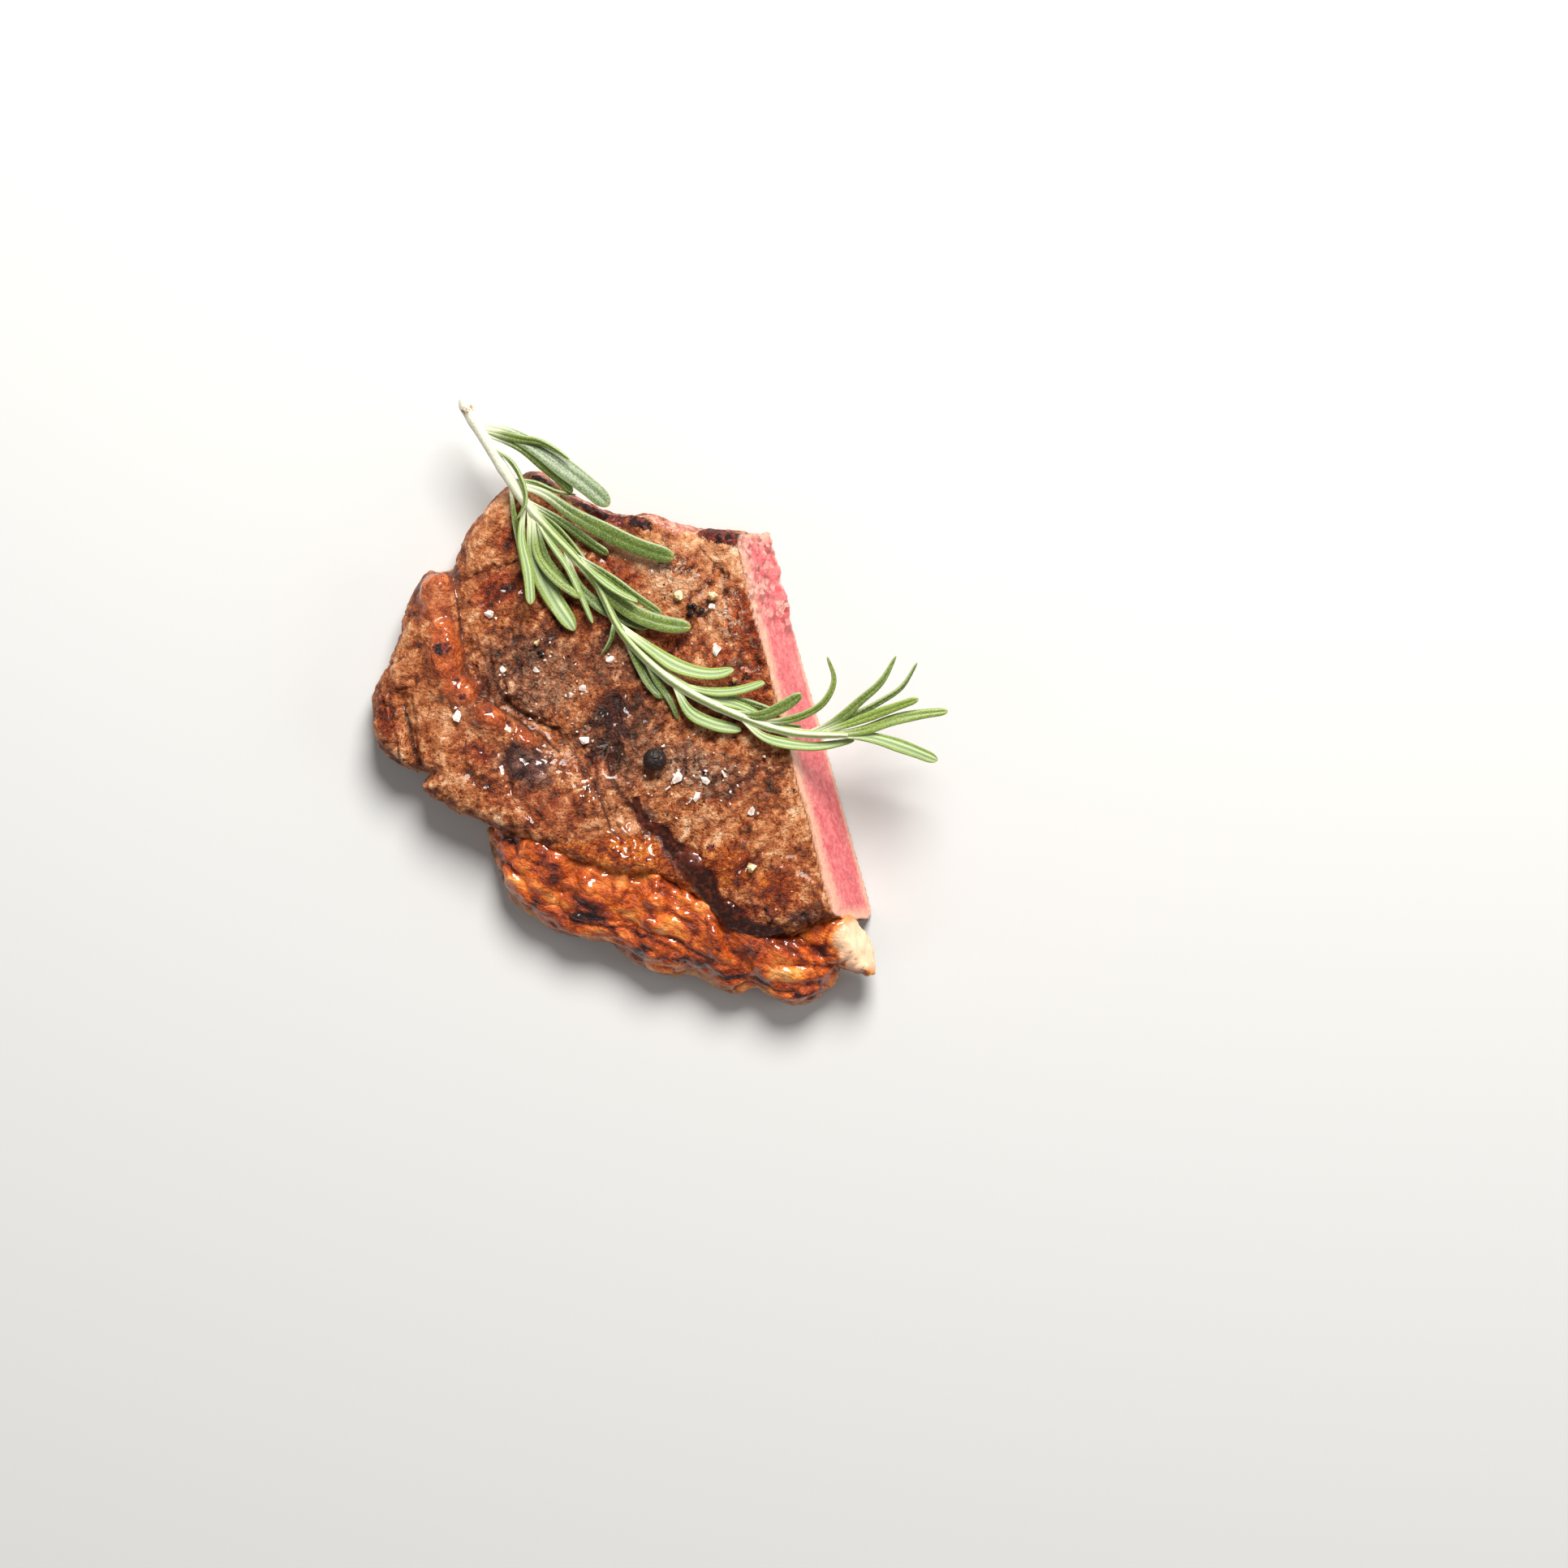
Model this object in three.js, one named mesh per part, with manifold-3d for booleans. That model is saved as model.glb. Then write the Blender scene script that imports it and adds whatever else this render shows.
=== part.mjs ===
// A piece of seared striploin steak with a slanting cut face, its browned fat cap along one side,
// and a rosemary sprig lying across the top. Salt flakes and cracked pepper are fused to the meat.
//
// Millimetres. +Z is up and the steak lies on z = 0. Seen from above, +X points to the cut face and
// +Y to the bare end of the sprig's stem. Every shape is placed from one point near the middle of
// the steak, and the whole is centred over the origin at the end.

import * as THREE from 'three';
import { mergeVertices } from 'three/addons/utils/BufferGeometryUtils.js';
import Module from 'manifold-3d';

const wasm = await Module();
wasm.setup();

// ---------------------------------------------------------------- driving dimensions

const THICKNESS = 16.4;             // of the meat under the middle of its top
const RISE_TOWARDS_CUT = 0.035;     // the steak gets thicker towards the cut face ...
const RISE_TOWARDS_FAT = 0.04;      // ... and towards the fat cap
const UNEVENNESS = 0.45;            // of the seared top
const CUT_SLOPE = 0.47;             // how far the knife leaned, as run over rise
const CUT_NORMAL = new THREE.Vector2(0.963, 0.27);
const CUT_DISTANCE = 35.6;          // from the middle to the foot of the cut face
const FAT_GAP = 0.55;               // between the lean meat and the fat cap
const LEAF_GAP = 0.4;               // between the meat's top and what lies on it

// Edge of the uncut lean meat, from the top corner clockwise as seen from above.
const LEAN_OUTLINE = [
  [-32, 49], [-26.1, 52.6], [-18, 47.9], [-6.3, 42.8], [0, 43.2], [8.1, 40.3], [20.2, 39.1], [36, 38],
  [48, 20], [58, -12], [63, -45], [50, -48], [43, -47.8], [38.5, -48.6], [34.5, -50.6], [31, -52],
  [18.9, -51.5], [11.2, -44.5],
  [3, -39], [-9.9, -37.8], [-22, -33], [-36, -26.6], [-45, -22.5], [-50.8, -18], [-48.6, -14.6],
  [-52.5, -14.2], [-60.3, -9], [-62.1, 1.4], [-57.6, 11.2], [-53.6, 24], [-50, 29.7], [-44.4, 30.6],
  [-40.5, 39.6],
];
const LEAN_CENTRE = [-2, -2];

// The rounded edge from the bottom up: how far inside the outline, and its share of the thickness.
const EDGE_PROFILE = [
  [3.4, 0], [1.3, 0.045], [0.2, 0.2], [0, 0.48], [0.8, 0.75], [2.2, 0.91], [4.4, 0.985],
];

// Grooves where muscles meet and where the meat has folded: a line, its depth and its half width.
const GROOVES = [
  { depth: 1.7, width: 2.6, line: [[-43.9, 32], [-42.8, 24], [-41, 14], [-38, 6], [-33, 0.5], [-19, -9]] },
  { depth: 0.8, width: 2, line: [[-35, 14.5], [-35.4, 9], [-32, 1], [-27, -2.2], [-18, -7.2], [-14, -12.5]] },
  { depth: 2.6, width: 2.4, line: [[-55.2, 2], [-53.5, -4.5], [-50.6, -15]] },
  { depth: 0.8, width: 2, line: [[-7.6, 1], [-7.8, -14]] },
  { depth: 0.7, width: 2, line: [[-10, -23], [-5.5, -31]] },
  { depth: 0.7, width: 1.8, line: [[-41, 28.8], [-34, 31.3], [-29, 31.6]] },
  { depth: 1, width: 2, line: [[14, 34], [17.2, 25]] },
  { depth: 2.4, width: 2.8, line: [[-4, -24], [0, -29.5], [8, -41], [17, -49.5], [34, -51]] },
];

// Swellings (height above 0) and hollows (below 0): middle, radii and height.
const SWELLINGS = [
  { at: [-46.2, 25.5], radii: [3.8, 5.4], height: 1.8 },
  { at: [-45.4, 12.6], radii: [3.6, 5], height: 2.2 },
  { at: [-42.6, 3.2], radii: [4, 3.6], height: 1.8 },
  { at: [-35.4, -3], radii: [4, 3.2], height: 1.5 },
  { at: [-28.4, -7.4], radii: [4, 3.2], height: 1.4 },
  { at: [-25, -14.6], radii: [6.5, 5], height: 1.3 },
  { at: [-14, -20.5], radii: [7, 4.5], height: 1 },
  { at: [-4.5, -36], radii: [7, 3], height: 1.2 },
  { at: [9, 32], radii: [6, 4.5], height: 1 },
  { at: [8.4, -32.4], radii: [3.4, 3], height: -1.6 },
  { at: [13.6, -40.8], radii: [4.6, 4.2], height: -2.2 },
  { at: [2.6, -27], radii: [3.4, 3], height: -1.3 },
];

// Edge of the fat cap from its thin end to its thick end, and the hidden line it grows from.
const FAT_OUTER = [
  [-36.6, -27.5], [-34.6, -35], [-30.2, -43.6], [-22.6, -49.8], [-15.5, -52.2], [-9.5, -53.2], [-3, -57.8],
  [3.6, -60.2], [9.4, -59.6], [18.9, -64.2], [24, -63.2], [31.5, -67], [38, -65], [42, -60.5], [42.6, -56],
];
const FAT_INNER = [[-33, -26], [-24, -29], [-10, -34], [2, -36.5], [12, -43], [20, -48], [36, -52]];
// Its section: share of the way from the inner line to the outer edge, and share of FAT_HEIGHT.
const FAT_SECTION = [
  [0, 0], [0, 0.9], [0.22, 1], [0.48, 0.96], [0.68, 0.86], [0.8, 0.8],
  [0.91, 0.66], [0.99, 0.42], [1, 0.26], [0.96, 0.08], [0.86, 0],
];
const FAT_HEIGHT = 14.6;
const FAT_RIPPLES = [{ height: 0.05, pace: 41 }, { height: 0.04, pace: 67 }];  // across its upper side
// The tongue of fat that the knife went through, an egg shape that the cut opens. It leans by roll
// about its own long line before it is turned.
const FAT_TONGUE = { at: [46, -53.2, 10.9], radii: [14, 6.6, 5], roll: 0.65, turn: -0.32 };

// The sprig's stem: plan points and heights of its centre line, from the bare end to the tip.
const STEM_LINE = [
  [-41.6, 68, 15.8], [-36, 58.6, 16.3], [-31, 50.4, 16.7], [-26.6, 44, 17], [-21.6, 38.4, 17.2],
  [-12, 27.8, 18], [-6, 16.4, 18.4], [5, 5.8, 19.3], [18, -1.2, 19.8], [31.5, -5.8, 20.8], [44, -6.6, 22.6],
];
const STEM_RADII = [1.45, 1.25, 1.2, 1.2, 1.1, 1.1, 1.15, 1.25, 1.2, 1.15, 0.7];

// The leaves. from: distance along the stem where it grows; line: plan points on to its tip; wide: its
// width; lift: how far its tip ends above where it starts; tilt: roll about its own line in degrees.
const LEAVES = [
  { from: 9, line: [[-28.8, 57.2], [-23.4, 53.1], [-16.9, 47.3]], wide: 2.3, lift: -0.5, tilt: 25 },
  { from: 7, line: [[-31.5, 60.6], [-25.2, 57.1], [-18, 52], [-12.1, 47.4], [-8.8, 44.3]], wide: 4.3, lift: 0.5, tilt: -15 },
  { from: 8, line: [[-28.6, 59], [-24.6, 58.4], [-20.9, 56.7], [-17.4, 54.3]], wide: 1.8, lift: 2.5, tilt: 30 },
  { from: 12, line: [[-30.2, 53.6], [-27.4, 48.2], [-27.2, 44.6], [-29, 41.2]], wide: 1.1, lift: 3, tilt: 50 },
  { from: 21, line: [[-25.2, 49.3], [-20.7, 47.5], [-16.2, 46.8]], wide: 1.1, lift: -2, tilt: 30 },
  { from: 21, line: [[-29.9, 42.8], [-28.6, 35.1], [-27.4, 28.4]], wide: 1.4, lift: -2, tilt: -40 },
  { from: 22, line: [[-23.4, 47], [-17.1, 42.6], [-9.9, 38.6], [-2.7, 35.3], [5.6, 32.6]], wide: 3.9, lift: 1, tilt: 8 },
  { from: 26, line: [[-18.9, 40.5], [-13.5, 36.5], [-9, 33.5]], wide: 2.2, lift: -1.5, tilt: 20 },
  { from: 27, line: [[-20.7, 39.6], [-17.1, 35.6], [-14, 32]], wide: 1.6, lift: -2.5, tilt: 35 },
  { from: 27, line: [[-28.1, 36.9], [-26.6, 29.7], [-25.9, 22.3]], wide: 2.3, lift: 2.5, tilt: -10 },
  { from: 29, line: [[-25, 32.4], [-21.6, 24.7], [-16.4, 16.7]], wide: 4.2, lift: -1.5, tilt: -12 },
  { from: 30, line: [[-24.5, 33.3], [-20.2, 27.7], [-14.9, 23.8]], wide: 2.1, lift: 1, tilt: -30 },
  { from: 31, line: [[-22.5, 32.8], [-18.9, 28.4], [-16.6, 26.6]], wide: 1.4, lift: -1.5, tilt: -30 },
  { from: 29, line: [[-22.5, 37.1], [-18, 30.6], [-14.8, 23.9], [-12.4, 18.2]], wide: 1.7, lift: 0.5, tilt: -45 },
  { from: 39, line: [[-14, 30.1], [-9, 25], [-3.6, 20.7], [2.7, 18.2], [9.4, 17.3]], wide: 3.6, lift: 2, tilt: 8 },
  { from: 43, line: [[-10.8, 28.1], [-6.3, 24.8], [-2.3, 22.7]], wide: 1.6, lift: 4, tilt: 30 },
  { from: 42, line: [[-9.9, 29.3], [-3.1, 24.3], [2.9, 20.2]], wide: 1.9, lift: 1.5, tilt: 20 },
  { from: 40, line: [[-15.5, 26.6], [-10.8, 22], [-5, 19.1], [0, 17.3]], wide: 2.6, lift: -2, tilt: -20 },
  { from: 60, line: [[-8.1, 15.3], [-9.2, 13], [-10.6, 11.2]], wide: 1.1, lift: -2, tilt: -40 },
  { from: 61, line: [[0, 12.8], [5.8, 9], [11.2, 7.2], [15.3, 7], [18.9, 7.9]], wide: 3.2, lift: 2.5, tilt: 15 },
  { from: 64, line: [[-2.9, 10.4], [0, 5.4], [3.1, 1.6]], wide: 2.4, lift: -2.5, tilt: -25 },
  { from: 70, line: [[2.3, 4.9], [5, 0.7], [6.5, -3.1]], wide: 1.7, lift: -2.5, tilt: -30 },
  { from: 80, line: [[13, 3.1], [18.9, 3.1], [25.7, 5]], wide: 2.2, lift: 2.5, tilt: 10 },
  { from: 80, line: [[13.5, 1.6], [19.4, 0.2], [24.8, -2]], wide: 2.2, lift: 1, tilt: 20 },
  { from: 88, line: [[18.9, 1.3], [24.3, 0], [28.4, -1.4]], wide: 1.6, lift: 0, tilt: 25 },
  { from: 79, line: [[9, -1.3], [14, -4], [20.5, -5.4]], wide: 3, lift: -1.5, tilt: -18 },
  { from: 93, line: [[24.3, -2.3], [29.2, -0.5], [33.8, 2.5]], wide: 2.6, lift: 3.5, tilt: 20 },
  { from: 98, line: [[28.8, -3.5], [34.6, -2], [38.7, 0.7], [40.9, 5.4], [39.4, 10.6]], wide: 1.7, lift: 4.5, tilt: 30 },
  { from: 97, line: [[27.9, -4.2], [33.8, -4.6]], wide: 1.1, lift: -0.5, tilt: 20 },
  { from: 95, line: [[25.2, -6.8], [31, -8.5], [37.4, -9], [45.4, -7.7]], wide: 2.4, lift: 0.5, tilt: -25 },
  { from: 111, line: [[41.4, -3.4], [46.8, 1.1], [51.3, 5.2], [54.5, 10.8]], wide: 2.1, lift: 3.5, tilt: 25 },
  { from: 112, line: [[44.1, -2.9], [51.3, 0.9], [55.8, 4], [59.2, 9.4]], wide: 1.6, lift: 1, tilt: 35 },
  { from: 113, line: [[45, -3.8], [51.8, -1.3], [59.4, 1.4]], wide: 2.1, lift: 3.5, tilt: 5 },
  { from: 114, line: [[46.8, -5.6], [54, -3.2], [59.8, -2], [65.9, -1.3]], wide: 2.5, lift: 1.5, tilt: -8 },
  { from: 116, line: [[48.6, -7], [56.2, -9.2], [63.7, -12.1]], wide: 2.9, lift: -1, tilt: -12 },
];
const LEAF_THICKNESS = 0.75;
const LEAF_SHOULDER = 0.55;         // share of the half width over which a leaf keeps its thickness
const LEAF_STEPS = 9;

// Grains that lie where they stand out: [x, y, size].
const SALT_FLAKES = [
  [-35.6, 20.2, 3], [14.9, 12.2, 4], [14, 21.8, 2.2], [-32.4, 8, 2], [-24.8, 8, 2.2], [-14.6, 4, 2.4],
  [-17.2, 2.4, 2], [-8.6, 10.4, 2.4], [6.4, -15.8, 3.6], [10.2, -20, 3.4], [4.7, -18.4, 2.4],
  [12.4, -16.6, 2.6], [16.8, -15.2, 2.2], [22.8, -23.2, 2.6], [-42.4, -2.2, 3.2], [-14.4, -7.6, 3.4],
];
const PEPPER_BITS = [
  [6.4, 24.2, 2.8], [14.2, 24, 3], [10.2, 21.4, 4.4], [-24.8, 14, 2], [-24.2, 11.8, 2.2], [19, 5.8, 2],
];
const PEPPERCORNS = [[1.4, -11.9, 5.2], [22.9, -35.6, 3.2]];
// Patches of smaller grains: middle, spread and how many.
const GRAIN_PATCHES = [[-24, 4, 8, 12], [10, -16, 7, 12], [9, 22, 5, 5]];
const SMALL_GRAIN = [1, 1.8];
const GRAIN_SEED = 7;

// ---------------------------------------------------------------- helpers

const radians = THREE.MathUtils.degToRad;

function curveThrough(points, closed) {
  const nodes = points.map(([x, y, z = 0]) => new THREE.Vector3(x, y, z));
  return new THREE.CatmullRomCurve3(nodes, closed, 'centripetal');
}

function middleOf(ring) {
  const sum = ring.reduce((total, point) => total.add(point), new THREE.Vector3());
  return sum.divideScalar(ring.length);
}

// A closed body from rings of equal length, each end closed by a fan to its middle point.
function lofted(rings, firstMiddle = middleOf(rings[0]), lastMiddle = middleOf(rings.at(-1))) {
  const count = rings[0].length;
  const points = [...rings.flat(), firstMiddle, lastMiddle];
  const first = points.length - 2;
  const last = points.length - 1;
  const faces = [];
  for (let i = 0; i < count; i++) {
    const next = (i + 1) % count;
    faces.push(first, next, i);
    for (let ring = 0; ring + 1 < rings.length; ring++) {
      const low = ring * count;
      const high = low + count;
      faces.push(low + i, low + next, high + next, low + i, high + next, high + i);
    }
    const top = (rings.length - 1) * count;
    faces.push(top + i, top + next, last);
  }
  const geometry = new THREE.BufferGeometry().setFromPoints(points);
  geometry.setIndex(faces);
  return geometry;
}

function solidOf(geometry) {
  const bare = geometry.clone();
  bare.deleteAttribute('normal');
  bare.deleteAttribute('uv');
  const merged = mergeVertices(bare, 1e-4);
  const mesh = new wasm.Mesh({
    numProp: 3,
    vertProperties: new Float32Array(merged.attributes.position.array),
    triVerts: new Uint32Array(merged.index.array),
  });
  return new wasm.Manifold(mesh);
}

function geometryOf(solid) {
  const { vertProperties, triVerts } = solid.getMesh();
  const geometry = new THREE.BufferGeometry();
  geometry.setAttribute('position', new THREE.BufferAttribute(new Float32Array(vertProperties), 3));
  geometry.setIndex(new THREE.BufferAttribute(new Uint32Array(triVerts), 1));
  geometry.computeVertexNormals();
  return geometry;
}

const joined = (solids) => solids.reduce((whole, solid) => whole.add(solid));

// Drops the scraps that a cut or a shallow grain leaves loose.
const largestBody = (solid) => solid.decompose().sort((a, b) => b.volume() - a.volume())[0];

// The same run of numbers from 0 to 1 each time, for what is scattered.
function seededRandom(seed) {
  let state = seed;
  return () => {
    state = (state * 1664525 + 1013904223) % 4294967296;
    return state / 4294967296;
  };
}

// ---------------------------------------------------------------- lean meat

function distanceToLine(x, y, line) {
  let nearest = Infinity;
  for (let i = 0; i + 1 < line.length; i++) {
    const [ax, ay] = line[i];
    const [bx, by] = line[i + 1];
    const span = (bx - ax) ** 2 + (by - ay) ** 2;
    const share = THREE.MathUtils.clamp(((x - ax) * (bx - ax) + (y - ay) * (by - ay)) / span, 0, 1);
    nearest = Math.min(nearest, Math.hypot(x - ax - share * (bx - ax), y - ay - share * (by - ay)));
  }
  return nearest;
}

// Height of the meat's top, away from its rounded edge.
function topHeight(x, y) {
  let height = THICKNESS + RISE_TOWARDS_CUT * x - RISE_TOWARDS_FAT * y;
  height += UNEVENNESS * Math.sin(x / 6.1 + 1.3) * Math.cos(y / 7.7 + 0.4);
  height += UNEVENNESS / 2 * Math.sin(x / 3.3 - y / 4.1);
  for (const { line, depth, width } of GROOVES) {
    height -= depth * Math.exp(-((distanceToLine(x, y, line) / width) ** 2));
  }
  for (const { at, radii, height: rise } of SWELLINGS) {
    height += rise * Math.exp(-(((x - at[0]) / radii[0]) ** 2) - ((y - at[1]) / radii[1]) ** 2);
  }
  return height;
}

// The uncut meat as rings from the bottom edge round to the top's middle. grown makes it that much larger.
function leanMeat(grown = 0) {
  const columns = 108;
  const topRings = 14;
  const [cx, cy] = LEAN_CENTRE;
  const edge = curveThrough(LEAN_OUTLINE, true).getSpacedPoints(columns).slice(0, columns).reverse();
  const onRing = (point, inset, heightShare) => {
    const reach = Math.hypot(point.x - cx, point.y - cy);
    const scale = (reach - inset + grown) / reach;
    const x = cx + (point.x - cx) * scale;
    const y = cy + (point.y - cy) * scale;
    return new THREE.Vector3(x, y, heightShare * topHeight(x, y) + grown * (2 * heightShare - 1));
  };
  const rings = EDGE_PROFILE.map(([inset, share]) => edge.map((point) => onRing(point, inset, share)));
  const [lastInset] = EDGE_PROFILE.at(-1);
  for (let ring = 1; ring < topRings; ring++) {
    rings.push(edge.map((point) => {
      const reach = Math.hypot(point.x - cx, point.y - cy);
      return onRing(point, lastInset + (reach - lastInset) * ring / topRings, 1);
    }));
  }
  const bottomMiddle = new THREE.Vector3(cx, cy, -grown);
  const topMiddle = new THREE.Vector3(cx, cy, topHeight(cx, cy) + grown);
  return solidOf(lofted(rings, bottomMiddle, topMiddle));
}

// Everything beyond the slanting cut, as a large block.
function beyondTheCut() {
  const size = 200;
  const normal = new THREE.Vector3(CUT_NORMAL.x, CUT_NORMAL.y, CUT_SLOPE).normalize();
  const foot = new THREE.Vector3(CUT_NORMAL.x * CUT_DISTANCE, CUT_NORMAL.y * CUT_DISTANCE, 0);
  const block = new THREE.BoxGeometry(size, size, size).translate(size / 2, 0, 0);
  block.applyQuaternion(new THREE.Quaternion().setFromUnitVectors(new THREE.Vector3(1, 0, 0), normal));
  return solidOf(block.translate(foot.x, foot.y, foot.z));
}

// ---------------------------------------------------------------- salt and pepper

// Sets a grain on the meat, sunk into it a little under half way.
function settled(shape, x, y, size) {
  return solidOf(shape.translate(x, y, topHeight(x, y) + size / 5));
}

// A flake of salt is a lopsided slab, and a bit of pepper is a rough ball.
function grain(x, y, size, random, flat) {
  const radius = size / 2;
  const shape = flat ? new THREE.OctahedronGeometry(radius) : new THREE.IcosahedronGeometry(radius);
  shape.scale(1, 0.6 + 0.4 * random(), flat ? 0.5 : 0.8);
  shape.rotateX(0.5 * (random() - 0.5)).rotateZ(Math.PI * random());
  return settled(shape, x, y, size);
}

function seasoning() {
  const random = seededRandom(GRAIN_SEED);
  const grains = SALT_FLAKES.map(([x, y, size]) => grain(x, y, size, random, true));
  grains.push(...PEPPER_BITS.map(([x, y, size]) => grain(x, y, size, random, false)));
  for (const [x, y, size] of PEPPERCORNS) {
    grains.push(settled(new THREE.IcosahedronGeometry(size / 2, 1), x, y, size));
  }
  const [smallest, largest] = SMALL_GRAIN;
  for (const [x, y, spread, count] of GRAIN_PATCHES) {
    for (let i = 0; i < count; i++) {
      const turn = 2 * Math.PI * random();
      const reach = spread * Math.sqrt(random());
      const size = smallest + (largest - smallest) * random();
      grains.push(grain(x + reach * Math.cos(turn), y + reach * Math.sin(turn), size, random, i % 2 === 0));
    }
  }
  return grains;
}

// ---------------------------------------------------------------- fat cap

function fatBody() {
  const stations = 42;
  const inner = curveThrough(FAT_INNER, false);
  const outer = curveThrough(FAT_OUTER, false);
  const section = (share) => {
    const from = inner.getPointAt(share);
    const to = outer.getPointAt(share);
    const ripple = FAT_RIPPLES.reduce((sum, { height, pace }) => sum + height * Math.sin(share * pace), 1);
    const ends = Math.min(1, 0.5 + 4 * share, 0.62 + 5 * (1 - share));
    return FAT_SECTION.map(([across, height]) => new THREE.Vector3(
      THREE.MathUtils.lerp(from.x, to.x, across),
      THREE.MathUtils.lerp(from.y, to.y, across),
      height * FAT_HEIGHT * (height > 0.5 ? ripple : 1) * ends,
    ));
  };
  return solidOf(lofted(Array.from({ length: stations }, (_, i) => section(i / (stations - 1)))));
}

function fatTongue() {
  const { at, radii, roll, turn } = FAT_TONGUE;
  const egg = new THREE.SphereGeometry(1, 20, 12).rotateX(Math.PI / 2).scale(...radii);
  return solidOf(egg.rotateX(roll).rotateZ(turn).translate(...at));
}

// ---------------------------------------------------------------- rosemary sprig

const stemCurve = curveThrough(STEM_LINE, false);
const stemLength = stemCurve.getLength();

function stemRadius(share) {
  const place = share * (STEM_RADII.length - 1);
  const before = Math.min(Math.floor(place), STEM_RADII.length - 2);
  return THREE.MathUtils.lerp(STEM_RADII[before], STEM_RADII[before + 1], place - before);
}

// A ring of points round a centre, in the plane of two axes.
function ringAround(centre, across, up, outline) {
  return outline.map(([a, b]) => centre.clone().addScaledVector(across, a).addScaledVector(up, b));
}

const UP = new THREE.Vector3(0, 0, 1);

function stem() {
  const sides = 8;
  const steps = 32;
  const circle = (radius) => Array.from({ length: sides }, (_, i) => {
    const angle = 2 * Math.PI * i / sides;
    return [radius * Math.cos(angle), radius * Math.sin(angle)];
  });
  const rings = [];
  for (let i = 0; i <= steps; i++) {
    const along = stemCurve.getTangentAt(i / steps);
    const across = new THREE.Vector3().crossVectors(UP, along).normalize();
    const up = new THREE.Vector3().crossVectors(along, across);
    rings.push(ringAround(stemCurve.getPointAt(i / steps), across, up, circle(stemRadius(i / steps))));
  }
  return solidOf(lofted(rings));
}

// Share of the leaf's full width: a narrow foot, a blade that widens slowly and a blunt tip.
function leafWidth(share) {
  const foot = Math.min(1, 0.4 + 0.95 * share);
  const tip = Math.sqrt(Math.max(0.02, 1 - ((share - 0.35) / 0.66) ** 6));
  return foot * tip;
}

// A leaf follows its line from the stem, rises by its lift, and stays clear of the meat under it.
function leaf({ from, line, wide, lift, tilt }) {
  const foot = stemCurve.getPointAt(Math.min(from / stemLength, 0.999));
  const route = curveThrough([[foot.x, foot.y], ...line], false);
  const long = route.getLength();
  const rings = [];
  for (let i = 0; i <= LEAF_STEPS; i++) {
    const t = i / LEAF_STEPS;
    const place = route.getPointAt(t);
    const along = route.getTangentAt(t).setZ(lift / long).normalize();
    const across = new THREE.Vector3().crossVectors(UP, along).normalize();
    across.applyAxisAngle(along, radians(tilt) * Math.min(1, 2 * t));
    const up = new THREE.Vector3().crossVectors(along, across);
    const half = wide / 2 * leafWidth(t);
    const reach = Math.abs(across.z) * half + LEAF_THICKNESS / 2;
    const overMeat = place.x * CUT_NORMAL.x + place.y * CUT_NORMAL.y < CUT_DISTANCE - 2;
    const floor = overMeat ? topHeight(place.x, place.y) + LEAF_GAP + reach : 0;
    place.z = Math.max(foot.z + lift * t, floor);
    const thick = LEAF_THICKNESS / 2 * (t < 1 ? 1 : 0.5);
    const flat = half * LEAF_SHOULDER;
    const outline = [[half, 0], [flat, thick], [-flat, thick], [-half, 0], [-flat, -thick], [flat, -thick]];
    rings.push(ringAround(place, across, up, outline));
  }
  return solidOf(lofted(rings));
}

// ---------------------------------------------------------------- the object

const paint = {
  crust: new THREE.MeshStandardMaterial({ color: 0x8a5230, roughness: 0.45, metalness: 0 }),
  fat: new THREE.MeshStandardMaterial({ color: 0xc9742c, roughness: 0.3, metalness: 0 }),
  herb: new THREE.MeshStandardMaterial({ color: 0x7f9a4e, roughness: 0.55, metalness: 0 }),
};

function named(name, solid, material) {
  const mesh = new THREE.Mesh(geometryOf(solid), material);
  mesh.name = name;
  return mesh;
}

const cut = beyondTheCut();
const lean = largestBody(joined([leanMeat(), ...seasoning()]).subtract(cut));
const fat = largestBody(fatBody().add(fatTongue()).subtract(cut).subtract(leanMeat(FAT_GAP)));
const sprig = largestBody(joined([stem(), ...LEAVES.map(leaf)]));

const steak = new THREE.Group();
steak.add(named('lean_meat', lean, paint.crust));
steak.add(named('fat_cap', fat, paint.fat));
steak.add(named('rosemary_sprig', sprig, paint.herb));

// Centre the whole over the origin, standing on z = 0.
const box = new THREE.Box3().setFromObject(steak);
steak.position.set(-(box.min.x + box.max.x) / 2, -(box.min.y + box.max.y) / 2, -box.min.z);

export default steak;
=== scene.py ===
"""Dresses a seared striploin steak: browned lean meat with a pink slanting cut, a golden fat cap,
salt, pepper and a sprig of rosemary.

Lengths in the tables are millimetres, measured in plan from one point near the middle of the steak,
with x towards the cut face and y away from the fat cap. Meshes are in metres, in the frame's place.
"""

import math
import random

import bmesh
import bpy
import numpy as np
from bpy.props import FloatProperty, FloatVectorProperty, IntProperty, PointerProperty
from mathutils import Matrix, Vector


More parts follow.
